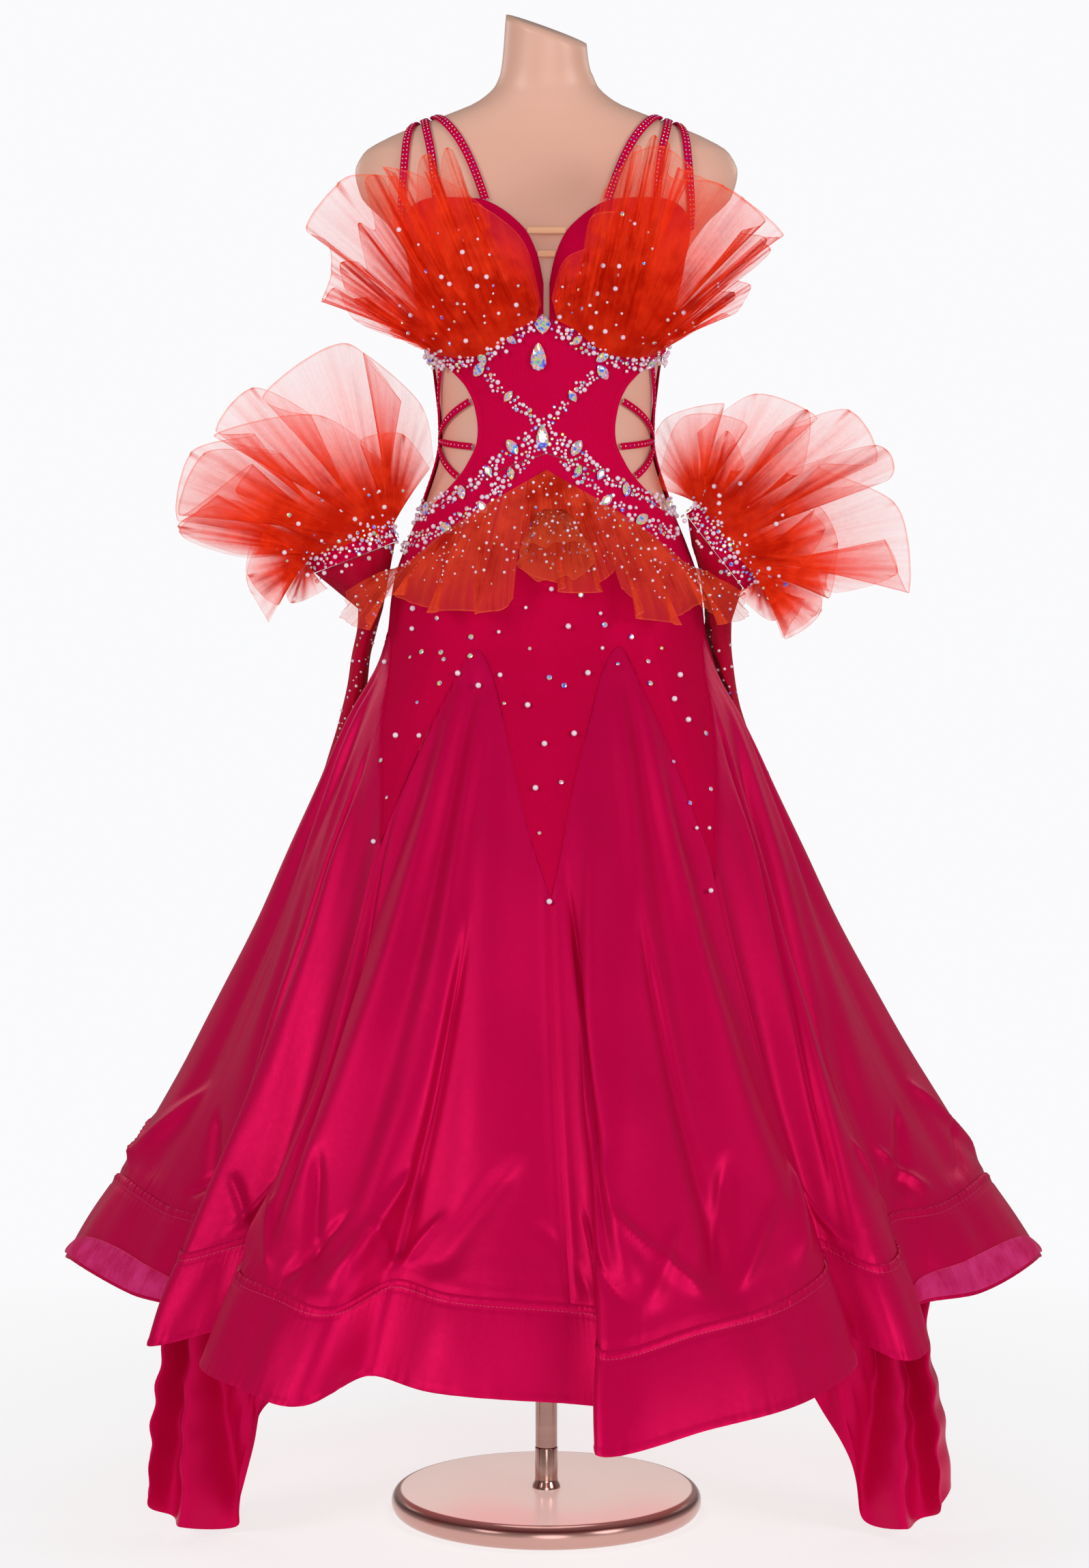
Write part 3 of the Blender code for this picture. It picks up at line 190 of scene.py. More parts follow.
# %% [markdown]
# The studio is plain: a white floor that fades out at its edge, a pale world, two large soft lights at the
# left and right of the camera, a low one in front that runs along the satin's folds, and two behind that
# draw their edges. A small lamp inside the skirt keeps the base from going dark.

# %% World and floor
world = bpy.data.worlds.new("Studio")
scene.world = world
world.use_nodes = True
nodes, links = world.node_tree.nodes, world.node_tree.links
seen, lit = nodes["Background"], nodes.new("ShaderNodeBackground")
for backdrop, colour, strength in ((seen, rgb(.96, .96, .975), 1.0), (lit, rgb(1, .99, .98), 0.30)):
    backdrop.inputs["Color"].default_value, backdrop.inputs["Strength"].default_value = colour, strength
choose, path = nodes.new("ShaderNodeMixShader"), nodes.new("ShaderNodeLightPath")
links.new(path.outputs["Is Camera Ray"], choose.inputs[0])
links.new(lit.outputs[0], choose.inputs[1])
links.new(seen.outputs[0], choose.inputs[2])
links.new(choose.outputs[0], nodes["World Output"].inputs["Surface"])

paper = Finish("Studio floor", Roughness=0.9, Base_Color=rgb(.34, .34, .345), Emission_Strength=0.70,
               Emission_Color=rgb(1, 1, 1))
away = (paper.spot(0) ** 2.0 + paper.spot(1) ** 2.0) ** 0.5
paper.feed(Alpha=((1.5 - away) / 1.1).within(0.0, 1.0))
disc = bmesh.new()
bmesh.ops.create_circle(disc, cap_ends=True, segments=96, radius=1.6)
floor_mesh = bpy.data.meshes.new("Floor")
disc.to_mesh(floor_mesh)
disc.free()
floor_mesh.materials.append(paper.material)
floor = bpy.data.objects.new("Floor", floor_mesh)
scene.collection.objects.link(floor)
floor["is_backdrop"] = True

# %% Lights
Lamp = namedtuple("Lamp", "name place aim size watts")
LAMPS = [
    Lamp("Key", (-3.0, -3.0, 2.4), (0, 0, 0.8), 1.7, 55),
    Lamp("Under the skirt", (0, 0.02, 0.46), (0, 0.02, 0), 0.3, 0.55),
    Lamp("Fill", (3.0, -2.8, 1.8), (0, 0, 0.8), 1.7, 52),
    Lamp("Front", (0.3, -5.0, 1.0), (0, 0, 0.8), 2.2, 44),
    Lamp("Rim left", (-2.4, 2.4, 2.0), (0, 0, 0.8), 1.4, 9),
    Lamp("Rim right", (2.4, 2.4, 2.2), (0, 0, 0.8), 1.4, 9),
]
for lamp in LAMPS:
    light = bpy.data.lights.new(lamp.name, "AREA")
    light.shape, light.size, light.energy = "DISK", lamp.size, lamp.watts
    holder = bpy.data.objects.new(lamp.name, light)
    holder.location = lamp.place
    holder.rotation_euler = (Vector(lamp.aim) - Vector(lamp.place)).to_track_quat("-Z", "Y").to_euler()
    holder.visible_camera = False
    scene.collection.objects.link(holder)
print(len(LAMPS), "lights")

# %% [markdown]
# The yokes, cups and straps are matt stretch jersey: a rough red with fine upright ribs and a little fuzz
# in its bump. The ribs follow the cut cloth's own metres, so they stay the same size on every piece.

# %% Jersey
def rib(finish, pitch, axis=0, name="cut"):
    """Upright ribs, 0 in the groove and 1 on the crest."""
    return (finish.cut(axis, name) * (math.pi / pitch)).sine().size()


jersey = Finish("Crimson jersey", Roughness=0.8, IOR=1.2, Specular_IOR_Level=0.25, Metallic=0.25,
                Specular_Tint=rgb(1.0, .20, .40))
ribs = rib(jersey, 0.0016)
fuzz = jersey.cloud(620, 3.0)
patch = jersey.cloud(9, 2.0)
tone = jersey.mix(ribs * 0.5 + fuzz * 0.5, rgb(.50, .0006, .043), rgb(.80, .0022, .080))
jersey.feed(Base_Color=jersey.mix((patch - 0.35).within(0, 1) * 0.5, tone, rgb(.54, .0005, .044)),
            Normal=jersey.bump(ribs * 0.7 + fuzz * 0.6, 0.0004, 0.55))
print("jersey done")

# %% [markdown]
# The godets are slipper satin: a warp that floats over the weft gives long soft light streaks with a
# grainy edge. A partly metallic red with a middling roughness makes the streaks, and a very fine noise,
# stretched along the cloth, breaks them up.

# %% Satin
satin = Finish("Crimson satin", Metallic=0.25, IOR=1.24, Specular_IOR_Level=0.5,
               Specular_Tint=rgb(1.0, .20, .48))
threads = satin.node("ShaderNodeCombineXYZ", {}, {0: satin.cut(0) * 2600, 1: satin.cut(1) * 700})
grain = satin.cloud(1.0, 2.0, threads)
slub = satin.cloud(140, 3.0)
tone = satin.mix(satin.cloud(7, 2.0), rgb(.46, .0003, .046), rgb(.63, .0006, .070))
satin.feed(Base_Color=satin.mix(grain * 0.30, tone, rgb(.84, .006, .125)),
           Roughness=(grain * 0.16 + slub * 0.12 + 0.21).within(0.2, 0.6),
           Normal=satin.bump(slub * 0.3 + grain * 0.35, 0.0009, 0.4))
print("satin done")

# %% [markdown]
# Crin is a net of stiff nylon hair. One layer is a pale pink veil and three layers are orange red, and it
# crowds at the gather. The mesh carries that crowding as a second map, and the layers' cover follows it:
# with k layers' worth of hair in the same space, 1 - (1 - cover) ** k of the light is stopped.

# %% Crin net
HAIR_PITCH = 0.0021


def crin_finish(name, cover, hair, shade, painted_glow, gathered=2.2):
    crin = Finish(name, Roughness=0.5, IOR=1.25, Specular_IOR_Level=0.35, Emission_Strength=painted_glow,
                  Specular_Tint=rgb(1.0, .75, .6))
    across, down = crin.cut(0), crin.cut(1)
    first, second = ((along * (math.pi / HAIR_PITCH)).sine().size()
                     for along in (across + down, across - down))
    hairs = (1 - first) ** 2.0 + (1 - second) ** 2.0
    crowd = crin.cut(0, "gather") * 16
    out = crin.cut(1, "gather")
    rays = crin.node("ShaderNodeCombineXYZ", {}, {0: across * 260, 1: out * 1.5})
    streaks = crin.cloud(1.0, 2.0, rays)
    crinkle, wrinkle = crin.cloud(210, 3.0), crin.cloud(42, 3.0)
    layers = crowd ** gathered * (0.66 + hairs * 0.30 + (crinkle - 0.5) * 0.4 + (streaks - 0.5) * 0.7)
    edge = ((out - 0.986) * 60).within(0, 1)
    stopped = 1 - (1 - cover) ** layers.within(0.3, 40)
    sparkle = (crin.cloud(900, 1.0) - 0.62).within(0, 1) * 3.0
    # The tone darkens with the density of the layers, which is the net's own colour, and with the streaks
    # and wrinkle noise, which paint shade into creases and lighter patches between them.
    depth = stopped - 0.45 + (streaks - 0.5) * 0.6 + (wrinkle - 0.5) * 1.3
    tone = crin.mix(depth.within(0, 1) * 1.5, hair, shade)
    tone = crin.mix(edge * 0.5, tone, rgb(1, .20, .07))
    # The net glows in its own tone: painted light, standing in for the light that shines through it.
    crin.feed(Base_Color=tone, Emission_Color=tone,
              Alpha=(stopped + edge * 0.5 + sparkle * 0.2).within(0, 0.975),
              Normal=crin.bump(hairs + crinkle * 1.5 + streaks + wrinkle * 5, 0.0012, 0.6))
    return crin


crin = crin_finish("Orange crin", 0.26, rgb(.94, .045, .009), rgb(.56, .010, .0006), 0.31)
back_crin = crin_finish("Orange crin behind", 0.22, rgb(.93, .045, .012), rgb(.66, .016, .002), 0.40, 1.7)
edging = crin_finish("Crimson crin", 0.45, rgb(.95, .05, .10), rgb(.55, .008, .02), 0.2)
facing_crin = crin_finish("Pale facing crin", 0.62, rgb(.84, .045, .26), rgb(.60, .003, .100), 0.16)
# The loop is the waist ruffle's net, a little denser, and its darker colours and weaker glow are painted
# shade inside the bell.
shaded_loop_crin = crin_finish("Loop crin in painted shade", 0.46, rgb(.86, .10, .03), rgb(.34, .010, .002), 0.10, 1.2)
waist_crin = crin_finish("Waist crin", 0.33, rgb(.95, .085, .030), rgb(.48, .010, .002), 0.21, 1.4)
print("crin done")

# %% [markdown]
# The gauntlets are power mesh, a fine square net. It has slipped into folds, so little shows through it.

# %% Power mesh
mesh = Finish("Crimson power mesh", Roughness=0.6, IOR=1.2, Specular_IOR_Level=0.2)
holes = rib(mesh, 0.0012) + rib(mesh, 0.0012, 1)
worn = mesh.cloud(30, 2.0)
mesh.feed(Base_Color=mesh.mix(worn, rgb(.46, .0004, .028), rgb(.64, .0012, .046)),
          Alpha=(0.89 + (holes - 1.1) * 0.14 + worn * 0.12).within(0, 1),
          Normal=mesh.bump(holes, 0.0003, 0.4))
print("power mesh done")

# %% [markdown]
# The form is a sprayed shell with the faintest orange peel. The stand is pink plated metal: the disc's top
# is brushed in rings, so its grain follows the distance from the pole, and its rim is polished. Polished
# metal mirrors the dark of a room along its shoulder, and here that reflection is painted in as a dark tone
# of its own. The disc also glows a little, painted light that keeps its top pale under the skirt.

# %% Shell and metal
shell = Finish("Form shell", Roughness=0.42, Coat_Weight=0.15, Coat_Roughness=0.3)
peel = shell.cloud(420, 2.0)
flush = shell.cloud(5, 2.0)
shell.feed(Base_Color=shell.mix(flush, rgb(.84, .475, .355), rgb(.90, .53, .405)),
           Roughness=(peel * 0.10 + 0.37).within(0, 1), Normal=shell.bump(peel, 0.0003, 0.25))

RIM_EDGE, SHOULDER_AT, SHOULDER_EDGE = 500, 0.80, 4.5
RIM_TONE, PAINTED_REFLECTION_TONE = rgb(.62, .36, .31), rgb(.10, .030, .028)


def plated(name, metallic, rough, painted_glow, dark, bright, rim=None):
    """Plated metal with a painted glow. Beyond a rim radius it is polished, darker and without the glow,
    with a painted reflection of dark along the shoulder.
    """
    metal = Finish(name, Metallic=metallic, Emission_Strength=painted_glow, Emission_Color=bright)
    radius = (metal.spot(0) ** 2.0 + metal.spot(1) ** 2.0) ** 0.5
    turned = metal.node("ShaderNodeCombineXYZ", {}, {0: radius * 900, 2: metal.spot(2) * 60})
    brushed = metal.cloud(1.0, 3.0, turned)
    tone = metal.mix(brushed, dark, bright)
    if rim:
        polished = ((radius - rim) * RIM_EDGE).within(0, 1)
        off_shoulder = (metal.spot(2) / BASE_THICKNESS - SHOULDER_AT).size() * SHOULDER_EDGE
        shoulder = (1 - off_shoulder).within(0, 1) * polished
        # Along the shoulder the tone turns to a painted reflection of the room's dark, and the polished rim
        # gets no painted glow.
        tone = metal.mix(shoulder, metal.mix(polished, tone, RIM_TONE), PAINTED_REFLECTION_TONE)
        metal.feed(Emission_Color=metal.mix(polished, bright, rgb(0, 0, 0)))
    metal.feed(Base_Color=tone, Roughness=(brushed * 0.06 + rough).within(0, 1),
               Normal=metal.bump(brushed, 0.0001, 0.06))
    return metal


elastic = Finish("Nude elastic", Roughness=0.6, Sheen_Weight=0.2)
knit = rib(elastic, 0.0009) * 0.6 + rib(elastic, 0.0009, 1) * 0.4
elastic.feed(Base_Color=elastic.mix(knit, rgb(.92, .48, .24), rgb(1.0, .66, .40)),
             Normal=elastic.bump(knit, 0.0003, 0.5))
print("shell, metal and elastic done")

# %% [markdown]
# Glass stones with a rainbow coating flash a different colour from each facet. They are foil backed, so a
# nearly mirror-like finish whose colour changes from stone to stone reads better than clear glass, and a
# faint glow in the same colour is painted light. Pearls are pale lilac-pink with a soft coat and a faint
# painted glow, and thread is plain and matt.

# %% Stones, pearls and thread
rainbow = Finish("Rainbow crystal", Metallic=0.55, Roughness=0.06, Coat_Weight=0.8, Coat_Roughness=0.03,
                 Emission_Strength=0.24)
FLASHES = [(0.30, rgb(.30, .05, .80)), (0.38, rgb(.06, .25, .95)), (0.44, rgb(.30, .80, .98)),
           (0.49, rgb(.95, .20, .70)), (0.54, rgb(.98, .78, .12)), (0.60, rgb(.12, .78, .40)),
           (0.66, rgb(.62, .08, .85)), (0.74, rgb(.98, .70, .92))]
flash = rainbow.node("ShaderNodeValToRGB", {}, {0: rainbow.cloud(190, 2.0)})
stops = flash.socket.node.color_ramp.elements
for place, colour in FLASHES[1:-1]:
    stops.new(place).color = colour
for stop, (place, colour) in zip((stops[0], stops[-1]), (FLASHES[0], FLASHES[-1])):
    stop.position, stop.color = place, colour
# The stones' colour feeds their emission too: a painted glow.
rainbow.feed(Base_Color=flash, Emission_Color=flash)
# Pearls glow faintly in pale pink: painted light.
pearl = Finish("Lilac pearl", Roughness=0.22, Coat_Weight=0.5, Coat_Roughness=0.08, Emission_Strength=0.08,
               Emission_Color=rgb(1, .85, .92))
pearl.feed(Base_Color=pearl.mix(pearl.cloud(160, 1.0), rgb(.68, .52, .72), rgb(.95, .85, .94)))
thread = Finish("Crimson thread", Roughness=0.6)
thread.feed(Base_Color=thread.mix(thread.cloud(1500, 1.0), rgb(.35, .002, .03), rgb(.60, .010, .08)))
hem_thread = Finish("Hem thread", Roughness=0.5)
loops = hem_thread.cloud(400, 1.0)
hem_thread.feed(Base_Color=hem_thread.mix(loops, rgb(.42, .002, .05), rgb(.80, .05, .15)))
print("stones done")

# %% [markdown]
# The shapes come next. The dress form is a stack of ovals with a soft bust, and the skirt is the same kind
# of stack with a wavy hem laid over it. The solids come from the same tables at coarse steps. Read at fine
# steps, a piece of cloth lies where its solid lies and only gains detail.

# %% The form's sections
JERSEY_WALL, SATIN_WALL, CRIN_WALL = .0012, .0012, .0010
HEM_WALL, STRAP_WALL, CUFF_WALL = .0016, .0014, .0016
SEAM_GAP, HEM_GAP, ARCH_GAP, GATHER_GAP, FLOAT_GAP = .0003, .0012, .0012, .0009, .0008
CLEAR_OF_FORM, CLEAR_OF_SHOULDER, CUP_PADDING = 0.0028, 0.0022, 0.0012
STRAP_WIDTH, STRAP_PITCH, LATTICE_WIDTH, NECK_BAR_WIDTH = 0.0085, 0.0100, 0.0070, 0.0065
BASE_RADIUS, BASE_THICKNESS, POLE_RADIUS, SOCKET_HEIGHT = 0.166, 0.026, 0.0117, 0.044
NECK_CUT_START, NECK_CUT_END, FOLD_TOP, HEM_BAND_HEIGHT = 1.525, 1.560, 0.880, 0.090


def numbers(text, parts=1):
    """Rows of values from text, with a comma between two rows: whole units, or thousandths of one."""
    return [[float(word) / parts if word[-1].isdigit() else word for word in row.split()]
            for row in text.split(",")]


def table(kind, text, parts=1):
    return [kind(*row) for row in numbers(text, parts)]


Section = namedtuple("Section", "height half_width front back lean")
FORM_SECTIONS = table(Section, """
800 112 70 82 4, 812 130 82 98 4, 860 153 96 117 3, 930 164 104 125 2, 1000 156 102 112 0,
1070 130 93 88 0, 1150 109 83 76 0, 1210 115 87 83 0, 1270 127 93 94 0, 1330 141 93 100 2,
1370 166 86 98 6, 1400 194 78 92 9, 1425 200 70 84 11, 1445 191 63 76 12, 1462 163 57 67 12,
1474 133 53 60 11, 1485 103 50 55 10, 1498 72 47 51 8, 1515 53 44 48 6, 1535 46 43 46 3, 1572 42 42 43 -2
""", 1000)
BUST_X, BUST_HEIGHT = 0.070, 1.328
BUST_SPREAD_X, BUST_SPREAD_Z, BUST_DEPTH = 0.052, 0.058, 0.040
FORM_SQUARENESS = 0.025

# The skirt's own flare below the hips. Its lowest rows are the hem.
SKIRT_FLARE = table(Section, """
905 178 122 140 0, 858 201 147 164 0, 780 234 192 207 0, 715 262 228 241 0, 637 294 268 281 0,
565 328 304 318 0, 492 364 341 356 0, 425 403 376 392 0, 360 441 411 428 0, 285 484 452 468 0,
180 538 505 525 0""", 1000)

# %% Seams, godets and the folds of the hem
# Seams and godets round the skirt: a jersey point hangs at each seam, a godet rises to an apex between two
Seam = namedtuple("Seam", "azimuth height")
Godet = namedtuple("Godet", "name from_seam apex apex_height to_seam")
SEAMS = {"front": Seam(0, 0.688), "right_front": Seam(40, 0.702), "right_back": Seam(120, 0.705),
         "back": Seam(180, 0.690), "left_back": Seam(240, 0.705), "left_front": Seam(319, 0.735)}
GODETS = table(Godet, """
godet_front_right front 26 .934 right_front, godet_side_right right_front 80 .942 right_back,
godet_back_right right_back 150 .942 back, godet_back_left back 210 .942 left_back,
godet_side_left left_back 280 .942 left_front, godet_front_left left_front 335 .931 front""")
ARCH_POWER, WIDE_FOLD = 1.8, 5.2

# The hem's folds: where each line of the cloth stands at the hem
HemFold = namedtuple("HemFold", "seam azimuth radius height")
HEM_FOLDS = table(HemFold, """
0 3.5 .462 .226, 5 6.6 .48 .222, 11 4.8 .54 .196, 20 16 .528 .212, 30 29 .505 .226, 35 36.5 .482 .24,
45 41.5 .428 .262, 51 44.5 .48 .24, 58 50.5 .48 .242, 66 58.5 .43 .266, 75 70 .47 .268, 88 86 .522 .282,
99 99 .52 .258, 108 111 .452 .252, 118 118 .512 .232, 129 131 .44 .25, 140 139 .52 .22, 152 153 .446 .24,
163 163 .528 .212, 176 176 .456 .232, 188 187 .53 .208, 201 202 .45 .236, 212 212 .524 .216,
224 225 .444 .246, 236 236 .514 .228, 248 249 .446 .252, 261 261 .508 .256, 273 275 .505 .282,
285 290 .452 .266, 294 302 .425 .26, 301 306 .482 .24, 307 311 .438 .254, 313 314 .412 .262,
325 317.5 .486 .236, 333 325 .5 .228, 341 333.5 .5 .22, 347 338 .438 .24, 353 347 .452 .232""")

# %% Edges, cut-outs and straps of the bodice
# Edges of the bodice pieces, by azimuth from the front centre out to the side
Edge = namedtuple("Edge", "azimuth height")
UNDER_BUST = table(Edge, """
0 1.27, 13 1.257, 21 1.243, 31 1.231, 44 1.228, 67 1.233, 90 1.238, 180 1.238""")
CUP_TOP = table(Edge, """
0 1.29, 4 1.333, 10 1.364, 22 1.39, 36 1.393, 52 1.38, 70 1.348, 90 1.31, 180 1.3""")
HIP_SEAM = table(Edge, "0 1.133, 20 1.118, 45 1.092, 65 1.073, 90 1.068, 180 1.068")
RUFFLE_LINE = table(Edge, "0 1.112, 21 1.078, 33 1.057, 46 1.032, 66 .999, 90 .986")
CutOut = namedtuple("CutOut", "share half_angle")
FRONT_PANEL_SIDE = table(CutOut, """
0 66, .1 50.5, .2 43.5, .36 39.5, .52 38, .66 39, .78 42.5, .86 46.5, 1 65""")
BACK_PANEL_SIDE = table(CutOut, "0 80, .5 85.5, 1 81")

# Side lattice: each strap leaves the knot at the side of the waist for the front panel or a seam
Ray = namedtuple("Ray", "name azimuth height")
LATTICE_KNOT = Edge(90.4, 1.146)
LATTICE_RAYS = table(Ray, """
up 62 1.2305, upper 45.6 1.184, middle 39.6 1.139, lower 43.6 1.103, down 89 1.0705""")
KNOT_RADIUS, RAY_START, RAY_SPREAD, LATTICE_GAP = 0.0060, 0.0064, 0.33, 2.7

# Shoulder straps: where each leaves the cup, in metres from the centre, and where it meets the back band
Strap = namedtuple("Strap", "name front_x order back_x")
STRAPS = table(Strap, "outer .146 1 .08, middle .11 0 .064, inner .062 -1 .048")
SHOULDER_X = 0.127
NECK_BARS = {"neck_bar_upper": 1.3600, "neck_bar_lower": 1.3360}

# %% Folds of the ruffles
# The ruffle below the waist, in three lengths: each fold's azimuth, height and distance off the skirt
Wave = namedtuple("Wave", "azimuth height off")
Length = namedtuple("Length", "name start end waves")
PEPLUM = [
    Length("peplum_left", -77.0, -9.0, table(Wave, """
-77 .984 .05, -74 .958 .058, -69 .944 .034, -63 .958 .044, -57 .985 .02, -50 .985 .045, -43 .974 .016,
-37 .97 .046, -30 .972 .018, -23 .97 .044, -16 .972 .018, -11 .985 .03""")),
    Length("peplum_centre", -8.5, 17.0, table(Wave, """
-12 1.036 .03, -7 1.022 .056, -1 1.003 .03, 5 .994 .06, 11 .99 .034, 17 .992 .06, 22 1.003 .03,
25 1.02 .04""")),
    Length("peplum_right", 17.5, 77.0, table(Wave, """
26 .994 .02, 31 .97 .04, 36 .962 .016, 42 .957 .046, 49 .966 .018, 55 .98 .04, 61 .97 .024, 66 .954 .042,
71 .952 .026, 75 .958 .052, 78 .98 .048""")),
]

# %% Cuffs, sleeves and floats
# Gauntlets: a cuff beside the hip, and below it a flat empty sleeve that hangs against the skirt
Cuff = namedtuple("Cuff", "side x y height lean half_length half_depth sleeve_gap")
CUFFS = {"left": Cuff(-1, 0.205, -0.016, 1.034, 21.0, 0.046, 0.028, 0.0012),
         "right": Cuff(1, 0.186, -0.018, 1.036, 52.0, 0.048, 0.028, 0.0016)}
CUFF_HEIGHT = 0.022
Sleeve = namedtuple("Sleeve", "height x y half_across half_deep")
SLEEVES = {
    "left": table(Sleeve, """
757 233 100 11 26, 774 233 95 12 27, 798 226.5 86 11 25, 842 212.5 68 11 25, 887 201.5 48 10.5 26,
917 197 34 10 26, 944 190.5 26 10.5 26, 968 186 20 13 26""", 1000),
    "right": table(Sleeve, """
757 232 100 10.5 26, 785 229.5 94 11.5 27, 805 217 86 10.5 25, 835 206 74 10.5 25, 865 196 56 10.5 25,
905 187 36 12 26, 935 182 26 14 26, 955 181 20 15 26""", 1000),
}
SLEEVE_TOP_SHARE = 0.86

# Floats: each is sewn inside the skirt at two valleys of its folds and hangs to just above the floor
Float = namedtuple("Float", "x y foot")
FloatSeat = namedtuple("FloatSeat", "seam height")
FLOAT_SEATS = {
    "float_left": (FloatSeat(285, 0.455), FloatSeat(313, 0.440)),
    "float_right": (FloatSeat(75, 0.455), FloatSeat(45, 0.440)),
}
FLOAT_SAG, FLOAT_INNER = 0.016, 0.334
FLOAT_FEET = {
    "float_left": table(Float, """
-412 -60 40, -424 -104 22, -392 -84 12, -372 -120 6, -336 -96 4, -322 -128 52, -300 -118 120,
-262 -140 178""", 1000),
    "float_right": table(Float, """
424 -60 30, 420 -104 16, 392 -82 8, 366 -118 4, 342 -96 10, 320 -126 88, 282 -112 142, 226 -146 196
""", 1000),
}

print(len(HEM_FOLDS), "hem folds and", len(GODETS), "godets")

# %% Curves through the tables
def unit(value):
    return np.clip(value, 0, 1)


def shares(count):
    return np.linspace(0, 1, count)


def of_length_one(rows):
    return rows / np.maximum(np.linalg.norm(rows, axis=-1, keepdims=True), 1e-9)


def bell(away, width):
    """1 at the middle of a bump and near 0 two widths away from it."""
    return np.exp(-((away / width) ** 2))


def hermite(start, end, start_slope, end_slope, step, part):
    square, cube = part * part, part * part * part
    return (start * (2 * cube - 3 * square + 1) + start_slope * step * (cube - 2 * square + part)
            + end * (3 * square - 2 * cube) + end_slope * step * (cube - square))


def smooth(rows, column, at):
    """A curve through one column of a table that never overshoots its rows, read at the first column."""
    knots = np.array([row[0] for row in rows], float)
    values = np.array([getattr(row, column) for row in rows], float)
    at = np.clip(at, knots[0], knots[-1])
    steps = np.diff(knots)
    slopes = np.diff(values) / steps
    product = slopes[:-1] * slopes[1:]
    total = np.where(product > 0, slopes[:-1] + slopes[1:], 1.0)
    tangents = np.concatenate([slopes[:1], np.where(product > 0, 2 * product / total, 0.0), slopes[-1:]])
    i = np.clip(np.searchsorted(knots, at, side="right") - 1, 0, len(steps) - 1)
    part = (at - knots[i]) / steps[i]
    return hermite(values[i], values[i + 1], tangents[i], tangents[i + 1], steps[i], part)


def round_the_hem(column, seam):
    """A closed curve through one column of the hem's folds."""
    knots = np.array([row.seam for row in HEM_FOLDS], float)
    values = np.array([getattr(row, column) for row in HEM_FOLDS], float)
    turn = 360.0 if column == "azimuth" else 0.0
    knots = np.concatenate([knots[-2:] - 360, knots, knots[:3] + 360])
    values = np.concatenate([values[-2:] - turn, values, values[:3] + turn])
    tangents = np.gradient(values, knots)
    seam = np.mod(seam, 360.0)
    i = np.searchsorted(knots, seam, side="right") - 1
    step = knots[i + 1] - knots[i]
    part = (seam - knots[i]) / step
    return hermite(values[i], values[i + 1], tangents[i], tangents[i + 1], step, part)


def flowing(points, share):
    """A soft curve through points, read at a share of the way along."""
    points = np.array(points)
    spans = len(points) - 1
    place = unit(share) * spans
    i = np.minimum(np.floor(place).astype(int), spans - 1)
    before, start, end, after = (points[np.clip(i + k, 0, spans)] for k in (-1, 0, 1, 2))
    return hermite(start, end, (end - before) / 2, (after - start) / 2, 1.0, (place - i)[:, None])

# %% The form and points off it
def section_point(sections, azimuth, height):
    """A point on a body of oval sections."""
    angle = np.radians(azimuth)
    across, ahead = np.sin(angle), np.cos(angle)
    depth = np.where(ahead > 0, smooth(sections, "front", height), smooth(sections, "back", height))
    swell = 1 + FORM_SQUARENESS * np.sin(2 * angle) ** 2
    x = smooth(sections, "half_width", height) * across * swell
    y = -depth * ahead * swell + smooth(sections, "lean", height)
    return np.stack([x, y, height + np.zeros_like(x)], -1)


def form_surface(azimuth, height):
    """The dress form's surface, with its bust and the slanted cut of its neck."""
    point = section_point(FORM_SECTIONS, azimuth, height)
    x, y = point[..., 0], point[..., 1]
    front = unit(np.cos(np.radians(azimuth)) * 2.5)
    rise = bell(height - BUST_HEIGHT, BUST_SPREAD_Z)
    bumps = sum(bell(x - side * BUST_X, BUST_SPREAD_X) for side in (-1, 1))
    cut = unit((height - NECK_CUT_START) / (NECK_CUT_END - NECK_CUT_START))
    point[..., 1] = y - BUST_DEPTH * front * rise * bumps
    point[..., 2] = height + cut * (0.16 * y - 0.36 * x)
    return point


def off_surface(surface, azimuth, height, out):
    """A point moved straight out from a surface."""
    azimuth, height = np.broadcast_arrays(np.asarray(azimuth, float), np.asarray(height, float))
    turn, lift = 0.5, 0.0015
    across = surface(azimuth + turn, height) - surface(azimuth - turn, height)
    up = surface(azimuth, height + lift) - surface(azimuth, height - lift)
    return surface(azimuth, height) + of_length_one(np.cross(across, up)) * np.asarray(out)[..., None]


def off_form(azimuth, height, out):
    return off_surface(form_surface, azimuth, height, out)


def edge_height(edges, azimuth):
    """The height of a bodice edge, the same on both sides of the body."""
    around = np.abs(np.mod(np.asarray(azimuth, float) + 180, 360) - 180)
    return smooth(edges, "height", around)


def form_route(azimuths, heights, out):
    """Points and normals of a route on the form."""
    azimuths, heights = np.asarray(azimuths, float), np.asarray(heights, float)
    inner = off_form(azimuths, heights, 0.0)
    outer = off_form(azimuths, heights, 0.01)
    return inner + (outer - inner) * (out / 0.01), (outer - inner) / 0.01


def azimuth_of(points):
    return np.degrees(np.arctan2(points[:, 0], -points[:, 1]))


def clear_of(surface, points, out):
    """Points moved away from the body's axis until they are clear of a surface."""
    azimuth = azimuth_of(points)
    for _ in range(4):
        skin = surface(azimuth, points[:, 2])
        azimuth = azimuth + np.mod(azimuth_of(points) - azimuth_of(skin) + 180, 360) - 180
    reach = np.hypot(points[:, 0], points[:, 1])
    least = np.hypot(skin[:, 0], skin[:, 1]) + out
    grow = np.maximum(least / np.maximum(reach, 1e-6), 1)
    return points * np.stack([grow, grow, np.ones_like(grow)], -1)

# %% The skirt
SKIRT_SECTIONS = SKIRT_FLARE[::-1] + [
    Section(height, *(float(smooth(FORM_SECTIONS, column, height)) + CLEAR_OF_FORM
                      for column in ("half_width", "front", "back")),
            float(smooth(FORM_SECTIONS, "lean", height)))
    for height in (0.945, 0.975, 1.000, 1.035, 1.070, 1.105, 1.150)]


